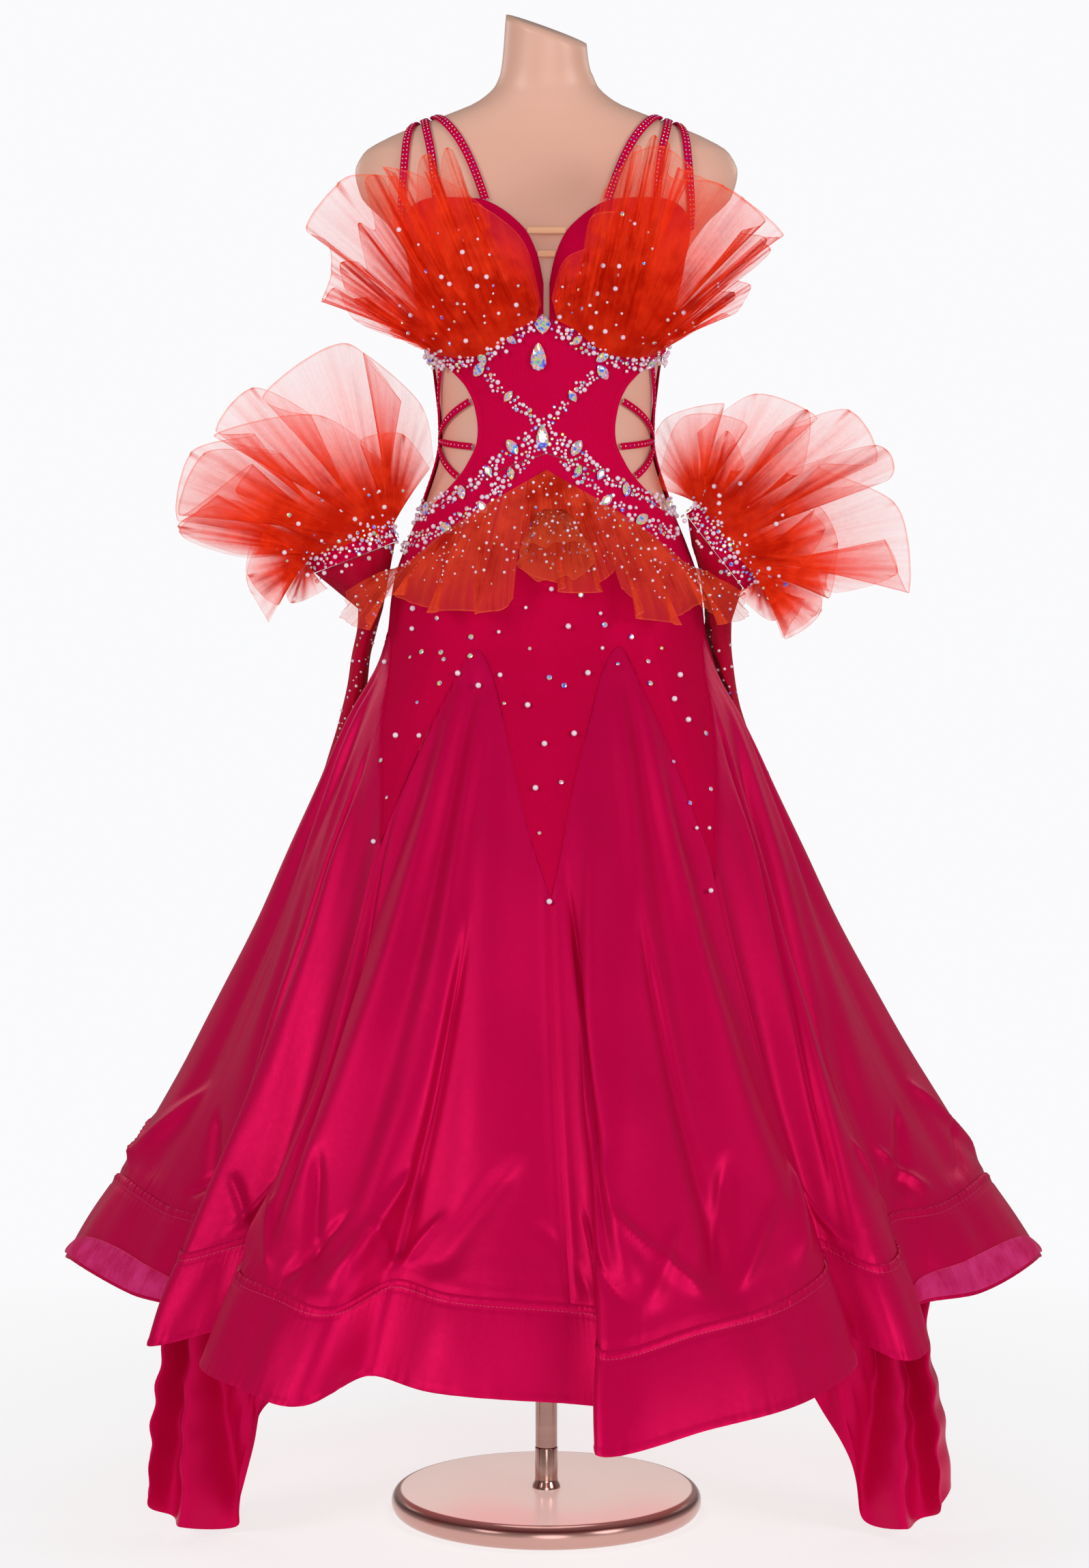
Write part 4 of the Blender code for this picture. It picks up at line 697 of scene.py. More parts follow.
def skirt_surface(seam, height):
    """The skirt's inner face: the line of cloth that starts at an azimuth, followed down to the hem."""
    seam, height = np.broadcast_arrays(np.asarray(seam, float), np.asarray(height, float))
    azimuth, radius = round_the_hem("azimuth", seam), round_the_hem("radius", seam)
    foot = round_the_hem("height", seam)
    around = np.mod(seam, 360.0)
    fall = unit((FOLD_TOP - height) / (FOLD_TOP - foot))
    turned = around + (azimuth - around) * fall**1.15
    plain = section_point(SKIRT_SECTIONS, turned, height)
    at_hem = section_point(SKIRT_SECTIONS, azimuth, foot)
    reach = radius - np.hypot(at_hem[..., 0], at_hem[..., 1])
    angle = np.radians(turned)
    way = np.stack([np.sin(angle), -np.cos(angle), np.zeros_like(angle)], -1)
    return plain + way * (reach * fall**1.6)[..., None]


def off_skirt(seam, height, out):
    return off_surface(skirt_surface, seam, height, out)


def godet_seams(godet):
    """A godet's seams and apex in degrees, from one seam on past 360 if it must."""
    start, end = SEAMS[godet.from_seam], SEAMS[godet.to_seam]
    finish = end.azimuth if end.azimuth > start.azimuth else end.azimuth + 360
    return start, godet.apex, finish, end


def godet_columns(godet):
    """The cloth's own lines across a godet: its ends and apex, each fold, the middle of each wide one."""
    start, apex, finish, _ = godet_seams(godet)
    folds = [row.seam + turn for turn in (0, 360) for row in HEM_FOLDS]
    folds = [seam for seam in folds
             if start.azimuth + 1.5 < seam < finish - 1.5 and abs(seam - apex) > 1.5]
    lines = sorted([start.azimuth, apex, finish, *folds])
    middles = [(a + b) / 2 for a, b in zip(lines, lines[1:]) if b - a > WIDE_FOLD]
    return np.array(sorted(lines + middles), float)


def arch_height(seam):
    """The height of the seam between the jersey and the satin."""
    seam = np.mod(np.asarray(seam, float), 360.0)
    height = np.zeros_like(seam)
    for godet in GODETS:
        start, apex, finish, end = godet_seams(godet)
        inside = (seam >= start.azimuth) & (seam <= finish)
        before = unit((apex - seam) / (apex - start.azimuth))
        after = unit((seam - apex) / (finish - apex))
        drop = np.where(seam < apex, before, after) ** ARCH_POWER
        low = np.where(seam < apex, start.height, end.height)
        height = np.where(inside, godet.apex_height - (godet.apex_height - low) * drop, height)
    return height


def band_top(seam):
    return round_the_hem("height", seam) + HEM_BAND_HEIGHT

# %% Straps, panels and cuffs
def panel_edge(height):
    """The front panel's side edge, as an azimuth at a height."""
    down = shares(60)
    azimuth = smooth(FRONT_PANEL_SIDE, "half_angle", down)
    top, foot = edge_height(UNDER_BUST, azimuth), edge_height(HIP_SEAM, azimuth)
    return np.interp(-height, -(top + (foot - top) * down), azimuth)


def ridge_height(x):
    """The height of the shoulder's ridge at a distance from the centre."""
    heights = np.linspace(1.43, 1.53, 400)
    widths = smooth(FORM_SECTIONS, "half_width", heights)
    return float(heights[np.argmin(np.abs(widths - x))])


def strap_half(end_x, ridge_x, ahead):
    """Azimuths and heights of one half of a strap, from just above the cloth up to the ridge."""
    end_height = 1.35
    for _ in range(6):
        width = float(smooth(FORM_SECTIONS, "half_width", end_height))
        turns = np.degrees(np.arcsin((end_x + np.array((-0.6, 0, 0.6)) * STRAP_WIDTH) / width))
        end_height = float(np.max(edge_height(CUP_TOP, turns if ahead else 180 - turns)))
        end_height += SEAM_GAP * (2 if ahead else 3)
    top = ridge_height(ridge_x)
    share = shares(10)
    heights = top - (top - end_height) * (1 - share) ** 2
    x = end_x + (ridge_x - end_x) * share
    turns = np.degrees(np.arcsin(unit(x / smooth(FORM_SECTIONS, "half_width", heights))))
    return (turns if ahead else 180 - turns), heights


def cuff_point(cuff, turn, along, out):
    """A point on a cuff: turn is 0 at its inner end, 90 at the front and 180 at its outer end."""
    lean, angle = math.radians(cuff.lean), np.radians(turn)
    length = (cuff.half_length + out) * -np.cos(angle)
    x = cuff.x + length * math.cos(lean) + along * math.sin(lean)
    z = cuff.height - length * math.sin(lean) + along * math.cos(lean)
    return np.stack([cuff.side * x, cuff.y - (cuff.half_depth + out) * np.sin(angle), z], -1)

# %% Folds of a ruffle
Knot = namedtuple("Knot", "place value")


def fold_line(rows, column, share):
    """One column of a ruffle's folds, read at a share of the way along."""
    knots = [Knot(i, getattr(row, column)) for i, row in enumerate(rows)]
    return smooth(knots, "value", np.asarray(share) * (len(rows) - 1))


def fold_mean(rows, column, share):
    """The same column with its folds ironed out."""
    step = 1.0 / (len(rows) - 1)
    around = [fold_line(rows, column, unit(share + k * step)) for k in (-1, 0, 1)]
    return (around[0] + 2 * around[1] + around[2]) / 4


print("hem radius at the front", round(float(round_the_hem("radius", np.array(0.0))), 3), "m")

# %% [markdown]
# Cloth is made one way all through: a flat grid of columns and rows is moved to its place by a function, and
# the grid's real lengths become a map in metres, so that ribs, net and threads keep their size. A second map
# holds how crowded the cloth is and how far down it is. Each piece's lengths and area are kept, so that the
# size each sheet was cut to can be printed.

# %% Laying cloth
Cut = namedtuple("Cut", "width narrow edge length depth area")
cuts, laid = {}, {}
SIDES = {"left": -1, "right": 1}


def lengths_along(points, axis):
    steps = np.linalg.norm(np.diff(points, axis=axis), axis=-1)
    start = np.zeros_like(np.take(steps, [0], axis=axis))
    return np.concatenate([start, np.cumsum(steps, axis=axis)], axis=axis)


def crowding(points):
    """How many times closer the lines of cloth lie than at the last row, smoothed, and more on folds."""
    gaps = np.linalg.norm(np.diff(points, axis=1), axis=-1)
    gaps = np.concatenate([gaps, gaps[:, -1:]], axis=1)
    reach = max(3, gaps.shape[1] // 40)
    padded = np.pad(gaps, ((0, 0), (reach, reach)), mode="edge")
    total = np.cumsum(np.pad(padded, ((0, 0), (1, 0))), axis=1)
    mean = (total[:, 2 * reach + 1:] - total[:, :-(2 * reach + 1)]) / (2 * reach + 1)
    return np.clip(mean[-1:] / np.maximum(mean, 1e-6), 0.6, 16) * turned_away(points)


def turned_away(points):
    """1 where the cloth lies flat across its row, up to 2.4 along a fold, where its layers run deep."""
    step = np.gradient(points, axis=1)
    flat = np.linalg.norm(step[..., [0, 2]], axis=-1)
    return np.clip(np.linalg.norm(step, axis=-1) / np.maximum(flat, 1e-6), 1, 2.4)


def quads_of(grid):
    """The four corners of every square of a grid, in turn."""
    return grid[:-1, :-1], grid[:-1, 1:], grid[1:, 1:], grid[1:, :-1]


def new_piece(name, mesh, finish):
    """A mesh as a visible piece, which rides on the root body."""
    mesh.materials.append(finish.material)
    piece = bpy.data.objects.new(name, mesh)
    scene.collection.objects.link(piece)
    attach(piece, "root")
    return piece


def lay_cloth(name, place, columns, rows, finish, closed=False, strip=False):
    """One skin of cloth on a grid. place takes arrays of column and row values and gives points."""
    wide, tall = len(columns), len(rows)
    across, down = np.meshgrid(np.asarray(columns, float), np.asarray(rows, float))
    points = place(across.ravel(), down.ravel()).reshape(tall, wide, 3)
    u, v = lengths_along(points, 1), lengths_along(points, 0)
    corners = quads_of(points)
    area = np.linalg.norm(np.cross(corners[2] - corners[0], corners[3] - corners[1]), axis=-1).sum() / 2
    wides, longs = u[:, -1], v[-1]
    cuts[name] = Cut(float(np.median(wides)), wides.min(), wides.max(), longs.max(), longs.mean(),
                     float(area))
    u = u - u[:, wide // 2][:, None]
    if strip:
        u = np.broadcast_to(u[-1], u.shape)
    quads = np.stack(quads_of(np.arange(tall * wide).reshape(tall, wide)), -1).reshape(-1, 4)
    used = wide - 1 if closed else wide
    corner = (quads // wide) * used + (quads % wide) % used
    mesh = bpy.data.meshes.new(name)
    mesh.from_pydata(points[:, :used].reshape(-1, 3), [], corner.tolist())
    crowded = crowding(points).clip(0, 16) / 16
    for layer, pair in {"cut": (u, v), "gather": (crowded, down.reshape(tall, wide))}.items():
        values = np.stack([np.broadcast_to(part, (tall, wide)).ravel()[quads.ravel()]
                           for part in pair], -1)
        mesh.uv_layers.new(name=layer).data.foreach_set("uv", values.ravel().astype(np.float32))
    mesh.shade_smooth()
    laid[name] = points
    return new_piece(name, mesh, finish)


def stand_for(piece, node):
    """Hide the solid that a piece is the finished form of, if it has one."""
    if node:
        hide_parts(node)


def declare(piece, held):
    """State the size that a sheet was cut to. A gathered ruffle is cut as rings, joined end to end, whose
    outer edge is its free edge; the rest are cut to their middle width and greatest length."""
    cut = cuts[piece.name]
    width, length = cut.width, cut.length
    if held == "gathered":
        across = 2 * (cut.depth + 0.01)
        width, length = across, max(cut.edge / math.pi, across)
    if cut.area < 0.31 * width * length:
        width = cut.narrow
    if cut.area > 0.98 * width * length:
        width = cut.area / (0.98 * length)
    print(f"{piece.name}: cut {width:.2f} x {length:.2f} m, {cut.area:.3f} m2, {held}")


def lay_sheet(name, grid, finish, slot, node, held, *rests_on, **form):
    """Cloth laid on a grid of (place, columns, rows), with its solid hidden and its cut size printed."""
    piece = lay_cloth(name, *grid, finish, **form)
    stand_for(piece, node)
    declare(piece, held)


def close_ends(piece):
    """Fill a tube's two open ends."""
    shape = bmesh.new()
    shape.from_mesh(piece.data)
    rims = [edge for edge in shape.edges if edge.is_boundary]
    bmesh.ops.holes_fill(shape, edges=rims, sides=0)
    bmesh.ops.recalc_face_normals(shape, faces=shape.faces)
    shape.to_mesh(piece.data)
    shape.free()

# %% [markdown]
# The form and its stand are rigid. The form is one closed skin with the slanted cut of its neck, and the
# stand is turned: a profile is spun round the pole's axis, with real rounded rims to catch the light.

# %% The form
rings = [np.linspace(*span) for span in ((0.800, 1.572, 120), (0.800, 0.815, 8), (1.40, 1.53, 30))]
form = lay_cloth("form", form_surface, np.linspace(0, 360, 193), np.unique(np.concatenate(rings)), shell,
                 closed=True)
close_ends(form)
stand_for(form, "form_torso")
print("form", len(form.data.polygons), "faces")

# %% The stand
def turn(name, profile, sides, finish):
    """A turned piece from its profile of (radius, height), bottom to top."""
    profile = np.array(profile)

    def place(azimuth, step):
        radius, height = profile[step.astype(int)].T
        angle = np.radians(azimuth)
        return np.stack([radius * np.sin(angle), -radius * np.cos(angle), height], -1)

    piece = lay_cloth(name, place, np.linspace(0, 360, sides + 1), np.arange(len(profile)), finish,
                      closed=True)
    close_ends(piece)
    piece.data.set_sharp_from_angle(angle=math.radians(35))
    stand_for(piece, name.replace("finished_", ""))
    return piece


disc_metal = plated("Rose plated disc", 0.50, 0.18, 0.34, rgb(.93, .73, .66), rgb(.97, .80, .73),
                    rim=BASE_RADIUS - BASE_THICKNESS * 0.42)
pole_metal = plated("Rose plated pole", 1.0, 0.12, 0.0, rgb(.28, .145, .12), rgb(.52, .32, .27))
half = BASE_THICKNESS / 2
rim = [(BASE_RADIUS - half * (1 - math.cos(a)) * 0.8, half + half * math.sin(a))
       for a in np.radians(np.linspace(-88, 88, 23))]
disc_profile = [(0.001, 0.0), (BASE_RADIUS - half * 0.8, 0.0), *rim, (0.05, BASE_THICKNESS),
                (0.001, BASE_THICKNESS)]
turn("finished_base_disc", disc_profile, 160, disc_metal)
foot = BASE_THICKNESS + SEAM_GAP
top = foot + SOCKET_HEIGHT
flange = [(POLE_RADIUS + out, foot + up)
          for out, up in ((0.0034, 0.0), (0.0030, 0.003), (0.0008, 0.007), (0.0004, 0.010))]
lip = [(POLE_RADIUS - 0.0002 + 0.0006 * math.cos(a), top - 0.0006 + 0.0006 * math.sin(a))
       for a in np.radians(np.linspace(0, 90, 4))]
turn("finished_pole_socket", [(0.001, foot), *flange, *lip, (0.001, top)], 64, pole_metal)
pole_profile = [(0.001, top + SEAM_GAP), (POLE_RADIUS - 0.0005, top + SEAM_GAP),
                (POLE_RADIUS, top + 0.001), (POLE_RADIUS, 0.40), (POLE_RADIUS, 0.7995), (0.001, 0.7995)]
turn("finished_pole", pole_profile, 64, pole_metal)
print("stand turned")

# %% [markdown]
# The bodice is jersey pulled tight over the form: two cups, a front panel with scooped sides, a back band
# and a back panel. Each is bound with a narrow rolled edge and a line of stitches a few millimetres in.

# %% Bodice
def rolled(share_a, share_b, width, inset=0.0065, height=0.0007, roll=0.0035):
    """The rise of a bound edge and the groove of its stitch line, along two opposite edges."""
    rise = 0
    for share in (share_a, share_b):
        near = np.abs(share) * width
        rise = rise + height * bell(near - roll * 0.4, roll * 0.5)
        rise = rise - height * 0.6 * bell(near - inset, 0.0009)
    return rise


def cup_place(azimuth, up):
    foot = edge_height(UNDER_BUST, azimuth) + SEAM_GAP
    tall = edge_height(CUP_TOP, azimuth) - foot
    padding = CUP_PADDING * np.minimum(up * 3, 1)
    pull = 0.0006 * np.sin(azimuth * 0.9 + 9 * up) * bell(up - 0.25, 0.3)
    edge = rolled(1 - up, up, tall, 0.006)
    return off_form(azimuth, foot + tall * up, CLEAR_OF_FORM + padding + JERSEY_WALL + edge + pull)


def band_place(azimuth, up):
    foot, top = edge_height(UNDER_BUST, azimuth), edge_height(CUP_TOP, azimuth)
    edge = rolled(1 - up, up, top - foot, 0.006)
    return off_form(azimuth, foot + (top - foot) * up, CLEAR_OF_FORM + JERSEY_WALL + edge)


def panel_place(middle, sides, width, relief):
    """A panel from the hip seam to the bust line, between scooped sides that a table gives."""
    def place(share, up):
        azimuth = middle + share * smooth(sides, "half_angle", 1 - up)
        top = edge_height(UNDER_BUST, azimuth) - SEAM_GAP
        foot = edge_height(HIP_SEAM, azimuth) + SEAM_GAP
        out = CLEAR_OF_FORM + JERSEY_WALL + rolled(1 - share, 1 + share, width) + relief(share, up)
        return off_form(azimuth, foot + (top - foot) * up, out)

    return place


def front_pull(share, up):
    return 0.0004 * np.sin(up * 21 + 3 * share) * np.abs(share) ** 2


def zip_ridge(share, _):
    return 0.0009 * bell(share * 0.14, 0.0035) - 0.0006 * bell(share * 0.14, 0.0008)


front_panel = panel_place(0, FRONT_PANEL_SIDE, 0.085, front_pull)
back_panel = panel_place(180, BACK_PANEL_SIDE, 0.14, zip_ridge)
for name, node, place, columns, count in (
        ("cup_left", "cup_left", cup_place, -np.linspace(1.4, 88.0, 130)[::-1], 70),
        ("cup_right", "cup_right", cup_place, np.linspace(1.4, 88.0, 130), 70),
        ("front", "front_panel", front_panel, np.linspace(-1, 1, 150), 90),
        ("back_band", "back_band", band_place, np.linspace(88.35, 271.65, 160), 50),
        ("back", "back_panel", back_panel, np.linspace(-1, 1, 161), 60)):
    lay_sheet(f"bodice_{name}", (place, columns, shares(count)), jersey, "jersey", node, "stretched", "form")

# %% [markdown]
# The straps are narrow ribbons of jersey with a slightly domed middle. Three cross each shoulder, and five
# meet at a knot in each side opening. Each follows the same route over the form as its solid.

# %% A ribbon along a route
def route_along(points, normals, count):
    """The same route read at more points."""
    points = np.asarray(points)
    far = lengths_along(points[None], 1)[0]
    share = np.interp(np.linspace(0, far[-1], count), far, shares(len(points)))
    return flowing(points, share), of_length_one(flowing(normals, share))


def beside(line, facing):
    """The direction across a strip, at each point of its line."""
    return of_length_one(np.cross(np.gradient(line, axis=0), facing))


RIBBON = ((-1, 0), (-1, .7), (-.86, 1), (-.45, 1.15), (0, 1.2), (.45, 1.15), (.86, 1), (1, .7), (1, 0))


def lay_ribbon(name, points, normals, width, wall, finish, node, pitch=0.0025):
    """A strap: a domed skin whose edges turn down to what it lies on. Gives its crest and its facing."""
    count = max(12, int(lengths_along(np.asarray(points)[None], 1)[0, -1] / pitch))
    line, facing = route_along(points, normals, count)
    widths = np.interp(shares(count), shares(len(points)),
                       np.broadcast_to(width, len(points)))
    side, profile = beside(line, facing), np.array(RIBBON)

    def place(column, row):
        i, k = row.astype(int), column.astype(int)
        across, up = profile[k, 0], profile[k, 1]
        return line[i] + side[i] * (across * widths[i] / 2)[:, None] + facing[i] * (up * wall)[:, None]

    stand_for(lay_cloth(name, place, np.arange(len(RIBBON)), np.arange(count), finish), node)
    return line + facing * wall * 1.2, facing

# %% Shoulder straps
strap_lines = {}
for side_name, side in SIDES.items():
    for strap in STRAPS:
        ridge_x = SHOULDER_X + strap.order * STRAP_PITCH
        front_turn, front_up = strap_half(strap.front_x, ridge_x, True)
        back_turn, back_up = strap_half(strap.back_x, ridge_x, False)
        azimuths = np.concatenate([front_turn, back_turn[-2::-1]])
        heights = np.concatenate([front_up, back_up[-2::-1]])
        points, normals = form_route(side * azimuths, heights, CLEAR_OF_SHOULDER)
        name = f"{side_name}_{strap.name}"
        strap_lines[name] = lay_ribbon(
            f"shoulder_strap_{name}", points, normals, STRAP_WIDTH, STRAP_WALL, jersey,
            f"strap_{name}")
print(len(strap_lines), "shoulder straps")

# %% Side lattice and knots
def knot_seat(side):
    return form_route([LATTICE_KNOT.azimuth * side], [LATTICE_KNOT.height], CLEAR_OF_FORM)


def lattice_ray(side, ray):
    """Points, normals and widths of one lattice strap, from the knot to where it meets the panel."""
    centre, _ = knot_seat(side)
    share = np.linspace(0, 1 if ray.name == "down" else 1.15, 200)
    azimuths = LATTICE_KNOT.azimuth + (ray.azimuth - LATTICE_KNOT.azimuth) * share
    heights = LATTICE_KNOT.height + (ray.height - LATTICE_KNOT.height) * share
    points, normals = form_route(side * azimuths, heights, CLEAR_OF_FORM)
    away = np.linalg.norm(points - centre, axis=1)
    across = np.cross(np.gradient(points, axis=0), normals)
    across *= LATTICE_WIDTH / 2 / np.linalg.norm(across, axis=1, keepdims=True)
    room = np.ones_like(share, bool)
    for edge in (points - across, points + across):
        wide = smooth(FORM_SECTIONS, "half_width", edge[:, 2]) + CLEAR_OF_FORM
        turned = np.degrees(np.arcsin(unit(np.abs(edge[:, 0]) / wide)))
        room &= (turned > panel_edge(edge[:, 2]) + LATTICE_GAP) | (turned > 80)
    last = len(share) - 1 if room.all() else int(np.argmin(room)) - 1
    pick = np.rint(np.linspace(int(np.argmax(away > RAY_START)), last, 12)).astype(int)
    return points[pick], normals[pick], np.minimum(away[pick] * RAY_SPREAD, LATTICE_WIDTH)


for side_name, side in SIDES.items():
    centre, normal = knot_seat(side)
    ball = bmesh.new()
    bmesh.ops.create_icosphere(ball, subdivisions=3, radius=KNOT_RADIUS)
    for vertex in ball.verts:
        x, y, z = vertex.co
        twist = 1 + 0.08 * math.sin(5 * math.atan2(z, y) + 400 * x)
        vertex.co = (x * 0.16 * twist + centre[0][0] + normal[0][0] * 0.0011,
                     y * 0.96 * twist + centre[0][1], z * 0.96 * twist + centre[0][2])
    knot_mesh = bpy.data.meshes.new(f"side_knot_{side_name}")
    ball.to_mesh(knot_mesh)
    ball.free()
    knot_mesh.shade_smooth()
    stand_for(new_piece(knot_mesh.name, knot_mesh, thread), f"lattice_{side_name}_knot")
    for ray in LATTICE_RAYS:
        points, normals, widths = lattice_ray(side, ray)
        name = f"{side_name}_{ray.name}"
        strap_lines[f"lattice_{name}"] = lay_ribbon(
            f"side_strap_{name}", points, normals, widths, STRAP_WALL, jersey, f"lattice_{name}")
print(len(strap_lines), "straps in all")

# %% Nude elastics across the neckline
neckline_turns = np.concatenate([np.linspace(1.4, 12, 4), np.linspace(12, 88.0, 10)[1:]])
neckline = off_form(neckline_turns, edge_height(CUP_TOP, neckline_turns), CLEAR_OF_FORM + CUP_PADDING)[:5]
for name, height in NECK_BARS.items():
    low_edge = height - NECK_BAR_WIDTH / 2
    reach = np.interp(low_edge, neckline[:, 2], neckline[:, 0]) - 2 * SEAM_GAP
    end = np.array((reach, np.interp(height, neckline[:, 2], neckline[:, 1]), height))
    points = np.linspace(end * (-1, 1, 1), end, 6)
    normals = np.tile((0.0, -1.0, 0.0), (6, 1))
    lay_ribbon(f"nude_{name}", points, normals, NECK_BAR_WIDTH, JERSEY_WALL, elastic, name,
               0.0012)
print("neck elastics laid")

# %% [markdown]
# The skirt is a fitted jersey yoke and six satin godets. The hem's big folds are in the tables already. A
# real skirt also has soft secondary folds that start at the godets' points and die out, drag lines above the
# stiff hem, and pucker at the seams. Each is listed here: where it starts and ends, how wide it is, and how
# far it stands out or sinks in.

# %% Soft folds of the satin
# Each fold's top, as a line of the cloth and a height, its foot, and its width and depth in tenths of a
# millimetre: fans below each godet's point, then drag lines that lift to the stiff hem, deep narrow folds
# between the godets, and short sharp drags just above the band.
Crease = namedtuple("Crease", "seam top seam_foot foot width depth")
CREASE_GAIN, TENTHS = 1.45, 10000
CREASES = table(Crease, """
24 .9 12 .4 160 45, 27 .91 24 .3 140 -40, 29 .88 33 .36 120 40, 33 .8 39 .42 160 -45, 12 .76 7 .46 140 35,
18 .84 17 .52 120 -35, 78 .91 70 .42 160 45, 81 .92 81 .34 140 -45, 84 .89 93 .4 150 40,
66 .84 60 .46 140 -35, 97 .84 104 .44 160 40, 72 .88 66 .52 110 30, 56 .78 54 .44 140 35,
110 .78 113 .4 140 -35, 148 .91 141 .4 150 45, 151 .92 150 .36 140 -40, 155 .88 162 .38 160 40,
137 .82 133 .42 130 -35, 169 .8 170 .44 140 35, 143 .86 138 .5 110 30, 208 .91 200 .42 160 45,
211 .92 212 .36 140 -40, 215 .88 222 .4 130 45, 196 .8 192 .44 150 35, 226 .82 230 .44 130 -35,
204 .86 206 .5 110 -30, 277 .91 268 .44 160 45, 280 .92 279 .36 130 -45, 283 .89 291 .42 160 45,
264 .82 258 .44 140 -35, 294 .82 298 .48 120 35, 288 .87 285 .52 100 -30, 303 .77 305 .46 140 30,
250 .78 250 .42 140 35, 333 .9 329 .38 150 45, 336 .9 338 .34 130 -40, 339 .87 346 .4 140 40,
327 .82 321 .46 130 -35, 347 .8 352 .44 140 30, 343 .84 342 .52 100 -28, 10 .46 15 .335 100 50,
27 .44 22 .33 90 -45, 37 .43 33 .345 80 45, 57 .44 62 .36 80 40, 84 .47 92 .385 90 45,
76 .45 70 .375 80 -40, 103 .45 108 .365 90 40, 123 .44 127 .345 80 -40, 146 .43 140 .335 90 45,
158 .43 163 .33 80 -40, 181 .43 187 .325 90 45, 206 .43 200 .335 80 -40, 219 .43 225 .34 90 45,
243 .44 237 .345 80 40, 256 .45 262 .36 90 -40, 280 .47 272 .385 100 45, 287 .45 292 .37 80 -40,
318 .44 323 .345 90 50, 331 .44 337 .33 80 -45, 345 .43 340 .335 90 45, 356 .44 351 .335 90 -40,
4 .7 12.5 .36 52 -75, 318 .86 328 .38 52 -70, 60 .86 49 .38 52 -70, 346 .64 347 .27 70 -55,
66 .78 60 .36 48 -55, 20 .66 24 .34 60 -45, 302 .8 298 .38 52 -60, 180 .74 176 .38 52 -70,
3 .395 8 .315 55 34, 7 .385 14 .325 50 -30, 13 .4 21 .33 55 34, 19 .385 16 .32 50 28,
31 .395 25 .33 50 32, 43 .4 49 .345 55 30, 69 .42 75 .37 55 32, 88 .425 82 .38 50 -28,
115 .4 111 .355 50 30, 134 .395 139 .335 55 32, 169 .385 164 .325 50 30, 193 .39 198 .33 50 -28,
231 .395 226 .34 50 32, 249 .405 254 .35 55 30, 268 .425 275 .375 55 34, 293 .41 288 .37 50 -30,
304 .405 309 .355 55 32, 312 .4 306 .35 50 28, 325 .395 330 .335 50 34, 338 .39 333 .325 50 -30,
342 .385 349 .32 55 34, 351 .39 346 .322 50 30, 358 .385 363 .318 50 -28""")


def creased(seam, height):
    """How far the satin's soft folds stand out, in metres."""
    out = np.zeros_like(height)
    for crease in CREASES:
        part = np.clip((crease.top - height) / (crease.top - crease.foot), -0.3, 1.3)
        centre = crease.seam + (crease.seam_foot - crease.seam) * part
        wide = smooth(SKIRT_SECTIONS, "half_width", height) * math.pi / 180
        across = (np.mod(seam - centre + 180, 360) - 180) * wide
        ends = unit((part + 0.12) / 0.3) * unit((1.15 - part) / 0.35)
        ends = ends * ends * (3 - 2 * ends)
        width = crease.width / TENTHS * (0.7 + 0.8 * unit(part))
        out = out + CREASE_GAIN * (crease.depth / TENTHS) * ends * bell(across, width)
    return out


def uneven(seam, rate, seed):
    """A soft uneven wave round the skirt from three sines that don't repeat together."""
    turned = np.radians(np.mod(seam, 360.0))
    parts = [(1.0, 0.0), (1.37, 1.9), (0.71, 4.1)]
    return sum(np.sin(np.round(rate * a) * turned + b + seed) for a, b in parts) / 3


def pucker(seam, away, pitch_rate, depth, reach):
    """Gathers along a seam: short ripples that die out a centimetre from it."""
    return depth * uneven(seam, pitch_rate, 1.3) * np.exp(-np.abs(away) / reach)


print(len(CREASES), "soft folds")

# %% Yoke of ribbed jersey
def yoke_place(seam, up):
    foot = arch_height(seam) + ARCH_GAP / 2
    top = edge_height(HIP_SEAM, seam) - SEAM_GAP
    height = foot + (top - foot) * up
    away = height - foot
    out = JERSEY_WALL + 0.0009 * bell(away - 0.002, 0.0016) - 0.0009 * bell(away - 0.0062, 0.0012)
    drape = 0.0022 * uneven(seam, 17, 0.4) * unit((0.98 - height) / 0.2)
    out = out + drape + pucker(seam, away, 430, 0.0005, 0.008)
    return off_skirt(seam, height, out)


around = np.unique(np.concatenate([godet_columns(godet) for godet in GODETS]))


def finer(columns, step):
    """The same lines of cloth with evenly spaced ones between them."""
    between = np.arange(columns[0] + step / 2, columns[-1], step)
    away = np.min(np.abs(between[:, None] - columns[None]), axis=1)
    return np.sort(np.concatenate([columns, between[away > step / 3]]))


def halves(seam, gap):
    """The cloth's lines over the front and over the back, out to a side seam, each a gap short of it."""
    front = np.concatenate([around[around >= 360 - seam], around[(around > 0) & (around <= seam)] + 360])
    back = around[(around >= seam) & (around <= 360 - seam)]
    for lines in (front, back):
        lines[0], lines[-1] = lines[0] + gap, lines[-1] - gap
    return {"front": front, "back": back}


for part, lines in halves(80, 0.05).items():
    grid = yoke_place, finer(lines, 0.55), shares(66) ** 1.15
    lay_sheet(f"jersey_yoke_{part}", grid, jersey, "jersey", f"yoke_{part}", "stretched", "form")

# %% [markdown]
# A godet is a wide wedge let into the yoke between two of its points. Near the point the satin is cut on
# the straight and the jersey pulls it in, so it puckers. Lower down it is on the bias and swings.

# %% Godets of satin
TUCK = 0.005


